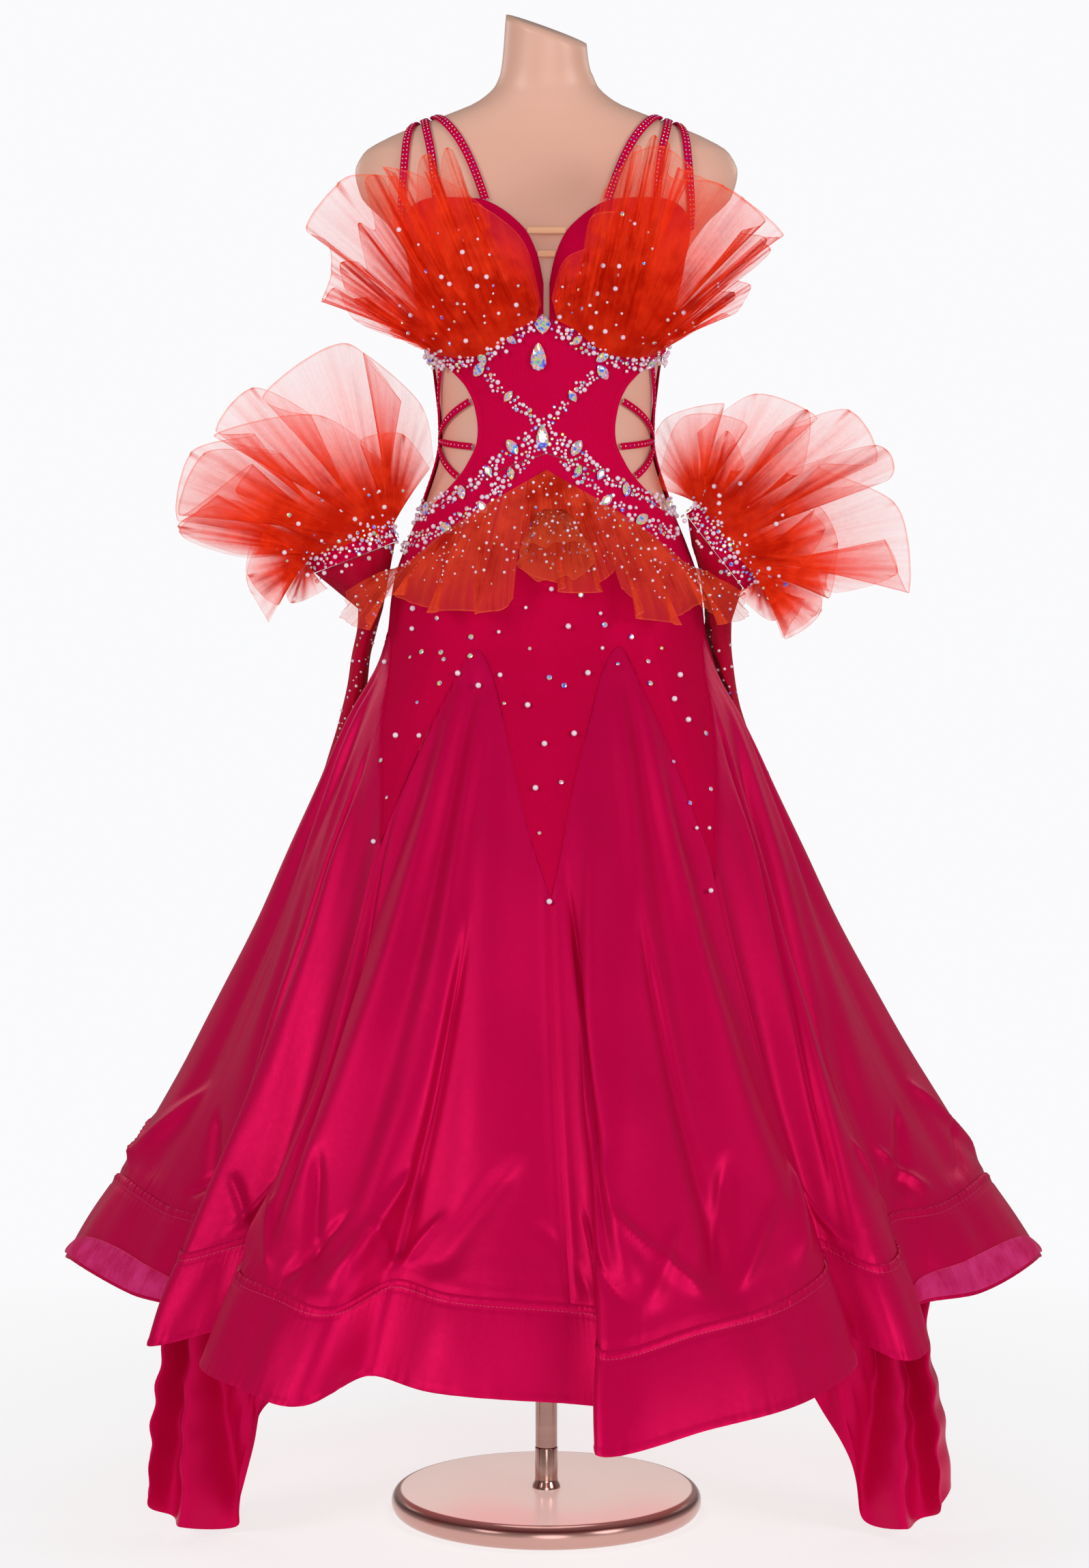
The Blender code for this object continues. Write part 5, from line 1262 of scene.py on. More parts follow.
def godet_place(godet):
    start, _, finish, _ = godet_seams(godet)
    middle = (start.azimuth + finish) / 2

    def place(seam, up):
        top, foot = arch_height(seam) - ARCH_GAP / 2, band_top(seam) + HEM_GAP / 2
        height = foot - TUCK + (top - foot + 1.6 * TUCK) * up
        half = smooth(SKIRT_SECTIONS, "half_width", height)
        line = seam - np.sign(middle - seam) * np.degrees(0.0006 / half) * (np.abs(middle - seam) > 1)
        from_top, from_foot = top - height, height - foot
        from_side = np.minimum(seam - start.azimuth, finish - seam) * half / 57.3
        fade = unit(from_side / 0.03) * unit(from_top / 0.04) * np.clip(from_foot / 0.02, 0.2, 1)
        out = SATIN_WALL + creased(line, height) * fade + 0.0010 * uneven(line, 22, 2.0) * fade
        out = out + pucker(line, from_top, 470, 0.0008, 0.012)
        out = out + pucker(line, from_foot, 610, 0.0012, 0.010)
        out = out - 0.0020 * bell(from_side, 0.0024) + 0.0008 * bell(from_side - 0.006, 0.003)
        tucked = unit(1 - np.minimum(from_top, from_foot) / 0.0015)
        out = out * (1 - tucked) + tucked * 0.0002 * (1 + (seam > middle))
        return off_skirt(line, height, out)

    return place


for godet in GODETS:
    start, _, finish, _ = godet_seams(godet)
    part = "back" if 80 < (start.azimuth + finish) / 2 % 360 < 280 else "front"
    grid = godet_place(godet), finer(godet_columns(godet), 0.36), shares(120)
    lay_sheet(f"satin_{godet.name}", grid, satin, "satin", godet.name, "hung", f"jersey_yoke_{part}")

# %% [markdown]
# The hem is a separate band, about 9 cm deep, stiffened and stitched on with a puckered seam. Its upper
# edge stands a little proud, its face bellies out, and its lower edge is turned under. A strip of paler
# crin faces it inside and shows where the folds turn towards the viewer.

# %% Hem band and its facing
STITCHED_DOWN = 0.0085


def hem_place(seam, up):
    foot = round_the_hem("height", seam)
    height = foot + (band_top(seam) - HEM_GAP / 2 - foot) * up
    from_top, from_foot = (1 - up) * HEM_BAND_HEIGHT, up * HEM_BAND_HEIGHT
    out = HEM_WALL + 0.0014 * bell(from_top - 0.003, 0.0025)
    out = out - 0.0009 * bell(from_top - STITCHED_DOWN, 0.0014)
    out = out + 0.0016 * np.sin(np.pi * up) + pucker(seam, from_top, 610, 0.0011, 0.012)
    out = out + 0.0009 * bell(from_foot - 0.002, 0.0018) + pucker(seam, from_foot, 330, 0.0006, 0.010)
    out = out + 0.0012 * uneven(seam, 60, 3.1) * np.sin(np.pi * up)
    return off_skirt(seam, height, out)


def facing_place(seam, up):
    foot = round_the_hem("height", seam)
    out = -0.0012 - 0.0014 * up + 0.0008 * uneven(seam, 190, 0.2)
    return off_skirt(seam, foot + 0.0008 + 0.048 * up, out)


for part, lines in halves(120, 0.03).items():
    band = lay_cloth(f"satin_hem_band_{part}", hem_place, finer(lines, 0.24), shares(30), satin)
    facing = lay_cloth(f"crin_facing_{part}", facing_place, finer(lines, 0.4), shares(7), edging,
                       strip=True)
    stand_for(band, f"hem_band_{part}")
    stand_for(facing, None)
    declare(band, "hung")
    declare(facing, "hung")

# %% [markdown]
# At both outer tips the band turns up so far that its facing shows as a pale crescent along the edge. The
# band's top seam is sewn with a lighter thread, one short stitch at a time.

# %% Turned-up facing and the band's stitches
for side, first, last in (("left", 268, 296), ("right", 62, 93)):
    def turned_place(seam, up):
        part = (seam - first) / (last - first)
        rise = 0.030 * np.sin(np.pi * unit(part)) ** 0.75
        out = HEM_WALL + 0.0030 + 0.0016 * np.sin(np.pi * up)
        return off_skirt(seam, round_the_hem("height", seam) + 0.0032 + rise * up, out)

    grid = turned_place, np.linspace(first + 0.4, last - 0.4, 90), shares(10)
    lay_sheet(f"crin_turned_{side}", grid, facing_crin, "crin", None, "hung", "satin_hem_band_front",
              strip=True)

STITCH_STEP, STITCH_LONG, STITCH_WIDE = 0.0040, 0.0023, 0.00032


def on_stitch_line(seam, up=0.0):
    height = band_top(seam) - STITCHED_DOWN + up
    return off_skirt(seam, height, HEM_WALL + 0.0006 + 0 * seam)


line = np.linspace(0, 360, 9001)
along = lengths_along(on_stitch_line(line)[None], 1)[0]
holes = np.arange(0, along[-1] - STITCH_STEP, STITCH_STEP)
starts, ends = np.interp(holes, along, line), np.interp(holes + STITCH_LONG, along, line)
corners = [on_stitch_line(seam, side * STITCH_WIDE)
           for seam, side in ((starts, -1), (ends, -1), (ends, 1), (starts, 1))]
faces = np.arange(4 * len(starts)).reshape(-1, 4).tolist()
stitch_mesh = bpy.data.meshes.new("hem_stitches")
stitch_mesh.from_pydata(np.stack(corners, 1).reshape(-1, 3), [], faces)
stand_for(new_piece("hem_stitches", stitch_mesh, hem_thread), None)
print(len(starts), "stitches in the hem")

# %% [markdown]
# Two floats of satin are sewn inside the skirt and trail almost to the floor. Each hangs in soft upright
# folds from its short seam, so its folds start narrow and open towards the foot.

# %% Floats
def float_place(name):
    feet, seats = FLOAT_FEET[name], [skirt_surface(seat.seam, seat.height) for seat in FLOAT_SEATS[name]]
    seats = [seat * (1 - FLOAT_GAP / np.hypot(seat[0], seat[1]) * np.array((1, 1, 0))) for seat in seats]

    def place(share, up):
        share, hang = share[:, None], (1 - up)[:, None]
        top = seats[0] + (seats[1] - seats[0]) * share
        middle = (seats[0] + seats[1]) * (1, 1, 0)
        inward = middle / np.linalg.norm(middle)
        top = top - inward * FLOAT_SAG * np.sin(np.pi * share)
        foot = flowing(feet, share[:, 0])
        point = top + (foot - top) * hang
        swing = np.minimum(hang * 2.2, 1) ** 0.8
        point[:, :2] = top[:, :2] + (foot[:, :2] - top[:, :2]) * swing
        soft = 0.0078 * np.sin(share * 12 + 2.2 * hang + 1.0) + 0.0040 * np.sin(share * 27 - 4.5 * hang)
        sway = hang * 13 + 2 * np.sin(hang * 5) + share * 8
        soft = soft + 0.0022 * np.sin(sway) * np.sin(share * 6 + 1.0)
        soft = soft + 0.0013 * np.sin(hang * 52 + share * 31) * np.sin(share * 15 - hang * 9)
        outer = np.abs(point[:, :1]) - FLOAT_INNER
        taper = 1 - 0.27 * bell(hang - 0.55, 0.24) + 0.10 * hang**5
        frill = 0.0030 * np.sin(hang * 11 + share * 2)
        frill = frill + 0.0013 * np.sin(hang * 47 + share * 9 + 2 * np.sin(hang * 9))
        point[:, :1] = np.sign(point[:, :1]) * (FLOAT_INNER + outer * taper + frill * unit(hang * 3 - 0.6))
        point[:, 2:] += (0.006 * np.sin(share * 8.5 + 0.7) ** 2 + 0.010 * unit(outer / 0.09)) * hang**6
        return point + inward * soft * hang * unit(share * 8) * unit((1 - share) * 8)

    return place


for side, way in SIDES.items():
    grid = float_place(f"float_{side}"), shares(150)[::way], shares(90)
    lay_sheet(f"satin_float_{side}", grid, satin, "satin", f"float_{side}", "hung",
              f"satin_godet_front_{side}", f"satin_godet_side_{side}")

# %% [markdown]
# The ruffles are wide strips of crin gathered hard on one edge, so the free edge falls into broad petals
# that overlap like an S: a petal starts at the back, sweeps to the front, and folds back under itself to
# start the next one. Each row below is one petal of a gauntlet's ruffle, seen from the front: where its
# edge starts, its widest point and where it ends, as a turn from straight up and a reach from the cuff.

# %% Petals of the gauntlet ruffles
Petal = namedtuple("Petal", "start start_reach middle middle_reach end end_reach")
FRONT_PETALS = {
    "left": table(Petal, """
-41 .118 -25 .131 -11 .112, -19 .097 13 .142 45 .181, 40 .121 56 .178 74 .176, 54 .134 63 .13 66 .096,
72 .131 83 .178 89 .103, 81 .09 104 .108 124 .092, 112 .072 133 .082 148 .046"""),
    "right": table(Petal, """
-46 .094 -19 .141 5 .127, -12 .083 0 .12 8 .086, 10 .085 30 .164 40 .112, 45 .105 56 .188 63 .18,
60 .097 80 .104 98 .078, 71 .104 89 .116 112 .118, 106 .095 125 .12 143 .112,
128 .099 148 .09 166 .046"""),
}
BACK_PETALS = {
    "left": table(Petal, """
-40 .123 -26 .166 -8 .204, -14 .161 2 .214 26 .184, 22 .145 32 .197 45 .188, 46 .157 60 .197 77 .186,
74 .153 86 .183 92 .108, 84 .105 106 .117 128 .119"""),
    "right": table(Petal, """
-38 .119 -24 .146 -4 .148, -8 .12 12 .162 32 .166, 30 .131 43 .194 57 .184, 56 .132 78 .19 100 .204,
93 .173 100 .186 109 .126, 106 .116 125 .124 143 .117"""),
}
FOLD_BACK = 4.5


def petal_edge(petals, cuff, back, front):
    """The free edge through all petals, each from its back to its front, as points of one line."""
    rows = []
    for number, petal in enumerate(petals):
        lift = 0.006 * math.sin(2.4 * number + cuff.side)
        steps = ((petal.start, petal.start_reach, back + lift),
                 (petal.middle, petal.middle_reach, (back + front) / 2),
                 (petal.end, petal.end_reach, front + lift))
        for spread, (turned, reach, y) in zip((-FOLD_BACK, 0, FOLD_BACK), steps):
            angle = math.radians(turned + spread)
            x = cuff.side * (cuff.x + reach * math.sin(angle))
            rows.append((x, y, cuff.height + reach * math.cos(angle)))
    return np.array(rows)


def ruffle_place(edge, gather, surface, clear, swell=0.018, curl=0.007, seed=0.0, crumple=0.0):
    """A ruffle from its free edge and its gathered line. Its folds start small at the gather."""
    nearby = np.array((-1.5, -0.75, 0, 0.75, 1.5)) / (len(edge) - 1)

    def place(share, out):
        free = flowing(edge, share)
        calm = sum(flowing(edge, unit(share + step)) for step in nearby) / len(nearby)
        start = gather(share)
        fold = (free - calm) * (out**1.25)[:, None]
        point = start + (calm - start) * out[:, None] + fold
        along = np.linalg.norm(calm - start, axis=1)
        ripple = 0.0022 * np.sin(share * 133 + seed) * out**2
        ripple = ripple + 0.0014 * np.sin(share * 397 + 2 * seed) * out
        point[:, 1] -= swell * np.sin(np.pi * out * 0.9) * np.clip(along / 0.12, 0.3, 1.2) - ripple
        point[:, 1] -= curl * unit(out - 0.8) ** 2 * 25 * np.sign(free[:, 1] - calm[:, 1])
        crush = np.sin(share * 47 + 11 * out + seed) * np.sin(19 * out - 23 * share + 2 * seed)
        crush = crush + 0.6 * np.sin(share * 89 - 26 * out) * np.sin(31 * out + 37 * share + seed)
        point[:, 1] -= crumple * crush * np.sin(np.pi * unit(out)) ** 0.5
        return clear_of(surface, point, clear + np.maximum(crumple * crush, 0) * np.sin(np.pi * out))

    return place


def ruffle_rows(count):
    return shares(count) ** 0.85


def cuff_gather(cuff, first, last):
    def gather(share):
        turned = first + (last - first) * share
        level = np.full_like(share, 0.2 * CUFF_HEIGHT)
        return cuff_point(cuff, turned, level, CUFF_WALL + GATHER_GAP + 0 * share)

    return gather


print("petals", {side: len(FRONT_PETALS[side]) + len(BACK_PETALS[side]) for side in FRONT_PETALS})

# %% Gauntlet cuffs and ruffles
for side, cuff in CUFFS.items():
    def cuff_place(turned, up, cuff=cuff):
        roll = 0.0008 * np.cos(2 * np.pi * up) ** 2
        pleat = 0.0007 * np.sin(np.radians(turned) * 31) * np.sin(np.pi * up)
        return cuff_point(cuff, turned, CUFF_HEIGHT * (up - 0.5), CUFF_WALL + pleat + roll)

    grid = cuff_place, np.linspace(0, 360, 161)[::cuff.side], shares(17)
    lay_sheet(f"gauntlet_cuff_{side}", grid, jersey, "jersey", f"cuff_{side}", "stretched",
              "jersey_yoke_front", closed=True)
    edge = petal_edge(FRONT_PETALS[side], cuff, -0.040, -0.088)
    place = ruffle_place(edge, cuff_gather(cuff, 2, 178), skirt_surface, 0.006, seed=1.0, crumple=0.0018)
    grid = place, shares(420)[::cuff.side], ruffle_rows(44)
    lay_sheet(f"ruffle_{side}_front", grid, crin, "crin", f"arm_fan_{side}", "gathered",
              f"gauntlet_cuff_{side}", strip=True)
    edge = petal_edge(BACK_PETALS[side], cuff, 0.040, 0.000)
    place = ruffle_place(edge, cuff_gather(cuff, 358, 182), skirt_surface, 0.004, swell=-0.010, seed=2.7)
    grid = place, shares(360)[::-cuff.side], ruffle_rows(44)
    lay_sheet(f"ruffle_{side}_back", grid, back_crin, "crin", None, "gathered",
              f"gauntlet_cuff_{side}", strip=True)

# %% [markdown]
# Below each cuff hangs an empty sleeve of power mesh. It keeps its tube, pressed flat against the skirt,
# with the small cross creases of a sleeve that has slipped down.

# %% Gauntlet sleeves
def sleeve_place(cuff, rows):
    def place(turned, up):
        low = np.minimum(up / SLEEVE_TOP_SHARE, 1)
        height = rows[0].height + (rows[-1].height - rows[0].height) * low
        angle = np.radians(turned)
        x = smooth(rows, "x", height) - smooth(rows, "half_across", height) * np.cos(angle)
        y = smooth(rows, "y", height) - smooth(rows, "half_deep", height) * np.sin(angle)
        tube = np.stack([cuff.side * x, y, height], -1)
        rim = cuff_point(cuff, turned, np.full_like(up, -CUFF_HEIGHT / 2 - GATHER_GAP), -0.001)
        near_top = (unit(up - SLEEVE_TOP_SHARE) / (1 - SLEEVE_TOP_SHARE))[:, None]
        point = tube + (rim - tube) * near_top
        crease = 0.0012 * np.sin(up * 46 + 1.7 * np.sin(angle)) + 0.0009 * np.sin(up * 83 + 3 * angle)
        crease = crease * unit((1 - up) * 6) * np.clip(up * 12, 0.2, 1)
        base = SATIN_WALL + CRIN_WALL + cuff.sleeve_gap + CRIN_WALL
        return clear_of(skirt_surface, point, base + np.maximum(crease, 0) + 0.0012)

    return place


for side, cuff in CUFFS.items():
    grid = sleeve_place(cuff, SLEEVES[side]), np.linspace(0, 360, 73)[::cuff.side], shares(130)
    lay_sheet(f"mesh_gauntlet_{side}", grid, mesh, "sheer_mesh", f"gauntlet_{side}", "hung",
              f"gauntlet_cuff_{side}", closed=True)

# %% [markdown]
# The bust ruffles are shorter strips of crin, one in front and one behind. Their folds stand up against the
# straps as narrow spikes, and fan out over the shoulder as broad petals. Each row is again a petal:
# millimetres across and up of where its edge starts, turns and ends.

# %% Petals of the bust ruffles
BUST_PETALS = {
    "left_front": numbers("""
-5 1283 -24 1348 -70 1384, -82 1379 -89 1427 -103 1437, -112 1376 -114 1430 -129 1423,
-133 1354 -138 1396 -159 1411, -153 1354 -163 1408 -183 1408, -174 1361 -191 1365 -182 1319,
-193 1328 -210 1324 -200 1292, -183 1292 -196 1287 -163 1259, -156 1259 -141 1251 -126 1239""", 1000),
    "left_back": numbers("""
-59 1379 -93 1405 -124 1419, -113 1408 -141 1420 -167 1424, -154 1416 -207 1414 -247 1365,
-226 1350 -222 1318 -231 1288, -217 1303 -198 1270 -157 1251, -163 1257 -145 1247 -127 1238""", 1000),
    "right_front": numbers("""
5 1290 17 1327 39 1339, 37 1336 45 1371 68 1376, 63 1369 79 1427 96 1439, 89 1376 101 1443 113 1445,
113 1369 120 1445 126 1434, 126 1412 176 1405 221 1369, 198 1358 224 1349 194 1312,
176 1299 191 1296 187 1285, 164 1276 150 1256 124 1248""", 1000),
    "right_back": numbers("""
46 1373 63 1407 85 1433, 91 1439 120 1444 150 1421, 135 1423 194 1399 243 1358,
222 1354 230 1339 201 1312, 198 1310 210 1303 194 1276, 179 1276 164 1265 123 1248""", 1000),
}
BUST_LIFT, BUST_GATHER_END = CLEAR_OF_FORM + JERSEY_WALL + GATHER_GAP + CRIN_WALL, 66.0


def bust_edge(petals, behind):
    """The free edge of a bust ruffle: each petal runs from the back of the ruffle to its front."""
    rows = []
    for petal in petals:
        for x, z, share in zip(petal[::2], petal[1::2], (0.0, 0.5, 1.0)):
            out = min(max((abs(x) - 0.10) / 0.15, 0), 1)
            if behind:
                back, front = -.105 + .070 * out, -.130 + .050 * out
            else:
                back, front = -.130 + .055 * out, -.158 + .022 * out
            rows.append((x, back + (front - back) * share, z))
    return np.array(rows)


def bust_gather(side, first, last, rise):
    def gather(share):
        azimuth = side * (first + (last - first) * share)
        return off_form(azimuth, edge_height(UNDER_BUST, azimuth) + rise, BUST_LIFT + 0 * share)

    return gather


for name, side in SIDES.items():
    for half, first, rise, swell in (("front", 4.5, 0.004, 0.026), ("back", 16.0, 0.009, 0.006)):
        edge = bust_edge(BUST_PETALS[f"{name}_{half}"], half == "back")
        gather, clear = bust_gather(side, first, BUST_GATHER_END, rise), BUST_LIFT + 0.004 - rise * 0.4
        place = ruffle_place(edge, gather, form_surface, clear, swell, 0.007, side + rise * 900, 0.0042)
        grid = place, shares(380)[::side], ruffle_rows(46)
        net, node = (crin, f"bust_fan_{name}") if half == "front" else (back_crin, None)
        lay_sheet(f"bust_ruffle_{name}_{half}", grid, net, "crin", node, "gathered", f"bodice_cup_{name}",
                  "form", strip=True)

# %% Ruffle below the waist
LOOPING, FOLD_POWER = 300, 1.7


def peplum_place(length):
    lift = JERSEY_WALL + GATHER_GAP + SEAM_GAP + CRIN_WALL
    length_reach = 0.5 if length.name == "peplum_centre" else 1.0

    def place(share, out):
        gather = length.start + (length.end - length.start) * share
        azimuth = gather + (fold_line(length.waves, "azimuth", share) - gather) * out
        start = edge_height(RUFFLE_LINE, gather) + 0.004 + 0.015 * unit(np.abs(gather) / 45)
        height = start + (fold_line(length.waves, "height", share) - start) * out
        off, mean = fold_line(length.waves, "off", share), fold_mean(length.waves, "off", share)
        quarter = unit(share + 0.5 / (len(length.waves) - 1))
        sway = fold_line(length.waves, "off", quarter) - fold_mean(length.waves, "off", quarter)
        azimuth = azimuth + LOOPING * sway * out**1.5 * unit(np.minimum(share, 1 - share) * 9)
        off = lift + (mean - lift) * out**0.8 + (off - mean) * out**FOLD_POWER
        off = lift + (off - lift) * length_reach
        off = off + (0.0024 * np.sin(share * 97) + 0.0014 * np.sin(share * 223)) * out**1.5
        return off_skirt(azimuth, height, off)

    return place


for length in PEPLUM:
    columns = shares(340 if length.name != "peplum_centre" else 160)[::-1]
    lay_sheet(f"waist_{length.name}", (peplum_place(length), columns, ruffle_rows(40)), waist_crin,
              "crin", length.name, "gathered", "jersey_yoke_front", strip=True)

# %% [markdown]
# A loop of the same net hangs over the middle of the waist ruffle: a bell that opens downwards and forwards,
# so its back shows inside its mouth. Its finish is darker than the ruffle's, painted shade of the bell.

# %% The loop at the waist
def loop_place(share, out):
    angle = share * 2 * np.pi
    across, ahead = np.cos(angle), -np.sin(angle)
    top, mouth = off_skirt([3.0], [1.074], [0.014])[0], skirt_surface(3.0, 1.020)
    lip = 0.0030 * np.sin(5 * angle + 1) + 0.0016 * np.sin(11 * angle)
    rim = np.stack([mouth[0] + (0.038 + lip) * across, mouth[1] - 0.050 - 0.019 * ahead,
                    mouth[2] + 0.004 + 0.020 * ahead + lip], -1)
    start = np.stack([top[0] + 0.009 * across, top[1] - 0.004 * ahead, top[2] + 0 * across], -1)
    point = start + (rim - start) * np.stack([out**0.75, out, out], -1)
    crush = 0.0022 * np.sin(7 * angle + 9 * out) + 0.0012 * np.sin(17 * angle - 14 * out)
    point[:, 0] += crush * np.sin(np.pi * out) * across
    point[:, 1] -= (0.007 * ahead + crush * ahead) * np.sin(np.pi * out)
    return point


lay_sheet("waist_loop", (loop_place, shares(200), ruffle_rows(36)), shaded_loop_crin, "crin", None,
          "gathered", "jersey_yoke_front", closed=True)
print("waist loop laid")

# %% [markdown]
# The trim is hundreds of stones and pearls. They are drawn once as small shapes and copied into joined
# meshes: one matrix product turns, sizes and places every copy of a shape.

# %% Small shapes
def pearl_shape():
    ball = bmesh.new()
    bmesh.ops.create_icosphere(ball, subdivisions=2, radius=1.0)
    points = [tuple(vertex.co) for vertex in ball.verts]
    faces = [[vertex.index for vertex in face.verts] for face in ball.faces]
    ball.free()
    return np.array(points) + (0, 0, 0.55), faces


def stone_shape(sides):
    """A cut stone: a flat table, a crown of facets and a short base, on one radius."""
    top, crown, base = 0.55, 0.42, -0.15
    angles = np.arange(sides) * 2 * math.pi / sides
    ring = np.stack([np.cos(angles), np.sin(angles)], -1)
    turned = np.stack([np.cos(angles + math.pi / sides), np.sin(angles + math.pi / sides)], -1)
    points = [*[(x, y, base) for x, y in ring * 0.8], *[(x, y, 0.12) for x, y in ring],
              *[(x * top, y * top, crown) for x, y in turned], (0, 0, crown)]
    faces = []
    for i in range(sides):
        j = (i + 1) % sides
        faces += [[i, j, sides + j, sides + i], [sides + i, sides + j, 2 * sides + i],
                  [2 * sides + i, sides + j, 2 * sides + j], [2 * sides + i, 2 * sides + j, 3 * sides]]
    return np.array(points), faces


def cut_shape(outline):
    """A faceted stone on a drawn outline: a kite-shaped crown round a small table."""
    top, crown, rim = 0.5, 0.5, 0.1
    outline = np.array(outline, float)
    between = (outline + np.roll(outline, -1, 0)) / 2
    count = len(outline)
    points = [*[(x, y, -0.12) for x, y in outline * 0.86], *[(x, y, rim) for x, y in outline],
              *[(x, y, (rim + crown) * 0.62) for x, y in between * 0.82],
              *[(x, y, crown) for x, y in outline * top], (0, 0, crown)]
    faces = []
    for i in range(count):
        j = (i + 1) % count
        faces += [[i, j, count + j, count + i], [count + i, count + j, 2 * count + i],
                  [count + j, 3 * count + j, 2 * count + i], [count + i, 2 * count + i, 3 * count + i],
                  [2 * count + i, 3 * count + j, 3 * count + i], [3 * count + i, 3 * count + j, 4 * count]]
    return np.array(points), faces


def outline_of(kind):
    """Twelve corners of a pear, a diamond or a leaf that reaches 1 from its middle."""
    shape = []
    for angle in np.arange(12) * 2 * math.pi / 12:
        x, y = math.sin(angle), math.cos(angle)
        if kind == "pear":
            x = x * (1 - 0.42 * y) * 0.93
        elif kind == "diamond":
            reach = 1 / (abs(x) ** 1.35 + abs(y) ** 1.35) ** (1 / 1.35)
            x, y = x * reach, y * reach
        else:
            x = x * (1 - 0.35 * y * y)
        shape.append((x, y))
    return shape[::-1]


PEARL, CHATON = pearl_shape(), stone_shape(8)
CUTS = {kind: cut_shape(outline_of(kind)) for kind in ("pear", "diamond", "leaf")}


def strew(name, shape, places, facing, sizes, finish, up=(0.0, 0.0, 1.0), smooth_faces=True):
    """Copies of a shape, each with its own place, facing and size (across, down, out)."""
    points, faces = shape
    places, facing = np.asarray(places, float), np.asarray(facing, float)
    count = len(places)
    sizes = np.broadcast_to(np.asarray(sizes, float), (count, 3))
    facing = of_length_one(facing)
    up = np.broadcast_to(np.asarray(up, float), (count, 3))
    across = of_length_one(np.cross(up, facing))
    down = np.cross(facing, across)
    axes = np.stack([across * sizes[:, :1], down * sizes[:, 1:2], facing * sizes[:, 2:]], 1)
    spots = np.einsum("pk,nkd->npd", points, axes) + places[:, None]
    offset = (np.arange(count) * len(points))[:, None]
    by_size = {}
    for face in faces:
        by_size.setdefault(len(face), []).append(face)
    every = []
    for group in by_size.values():
        every += (np.array(group)[None] + offset[:, :, None]).reshape(-1, len(group[0])).tolist()
    made = bpy.data.meshes.new(name)
    made.from_pydata(spots.reshape(-1, 3), [], every)
    if smooth_faces:
        made.shade_smooth()
    return new_piece(name, made, finish)

# %% [markdown]
# Stones and pearls are sewn along drawn lines. The tables hold the lines and the large stones as millimetres
# across and up, seen from the front, and each is dropped onto the cloth in front of it. Small ones are then
# sown like darts: a place is kept only if no other stone is too near.

# %% Where the stones lie
LINES = numbers("""
-11 1267 -38 1252 -64 1232 -90 1225 -118 1231 -129 1239, 5 1265 30 1250 56 1233 86 1224 115 1233 122 1243,
-67 1221 -51 1205 -38 1192 -11 1166 -3 1157, 57 1217 34 1203 26 1192 4 1168 -3 1157,
-9 1154 -34 1140 -58 1114 -86 1093 -123 1074 -137 1060, 3 1154 31 1137 55 1111 81 1095 123 1077 133 1068,
-8 1139 -36 1112 -66 1079 -102 1056 -128 1046 -149 1032, 10 1139 32 1114 61 1084 97 1064 134 1046,
-20 1137 -4 1146 14 1137""", 1000)
LEAVES = numbers("""
-36 1251 -52, -64 1232 -15, -67 1220 42, -38 1192 38, -116 1230 70, -34 1139 -38, -58 1114 -35,
-86 1092 -25, -123 1074 -50, -36 1112 -12, -65 1077 -40, -102 1055 -60, 31 1250 48, 56 1233 60,
56 1217 -38, 26 1192 -32, 104 1226 80, 30 1138 32, 55 1111 30, 81 1095 10, 122 1078 55, 32 1114 25,
61 1084 48, 97 1064 60""")
SCATTER = numbers("""
-136 972 -112 963 -137 951 -108 927 -140 921 -166 914 -77 944 -48 950 -17 932 5 994 35 988 -21 975 55 969
22 956 57 932 -47 905 42 907 -69 894 -43 877 -109 896 -90 906 3 903 43 909 18 895 -19 875 -2 837 28 847
15 800 -11 794 -7 751 3 685 -162 781 -169 817 -129 843 -153 842 -132 876 -174 737 106 896 136 903 118 931
129 818 144 858 163 844 151 752 164 751 164 691 145 777 167 789 130 879 59 957 87 944 73 916 104 918
-128 927 -105 920 -78 924""", 1000)[0]
BODICE_LIFT = CLEAR_OF_FORM + JERSEY_WALL + 0.0006


def on_front(places, lift=0.0):
    """The cloth's front at places given as metres across and up, and the way it faces there."""
    across, height = np.asarray(places, float).T
    best = None
    for surface, wall in ((form_surface, BODICE_LIFT), (skirt_surface, JERSEY_WALL + 0.0006)):
        low, high = np.full(len(across), -89.0), np.full(len(across), 89.0)
        for _ in range(24):
            middle = (low + high) / 2
            short = surface(middle, height)[:, 0] < across
            low, high = np.where(short, middle, low), np.where(short, high, middle)
        spot = off_surface(surface, middle, height, wall + lift)
        away = (off_surface(surface, middle, height, wall + lift + 0.01) - spot) / 0.01
        if best is None:
            best = spot, away
            continue
        nearer = ((spot[:, 1] < best[0][:, 1]) & (height < edge_height(HIP_SEAM, middle) + 0.002))[:, None]
        best = np.where(nearer, spot, best[0]), np.where(nearer, away, best[1])
    return best


def sow(spots, facing, sizes, kept):
    """The places to keep, so that stones of these sizes hardly touch each other or those already kept."""
    chosen = []
    for index, (spot, size) in enumerate(zip(spots, sizes)):
        if kept:
            centres, radii = np.array([k[:3] for k in kept]), np.array([k[3] for k in kept])
            if (np.linalg.norm(centres - spot, axis=1) < (radii + size) * 0.94).any():
                continue
        kept.append((*spot, size))
        chosen.append(index)
    return spots[chosen], facing[chosen], np.stack([sizes[chosen]] * 3, -1)


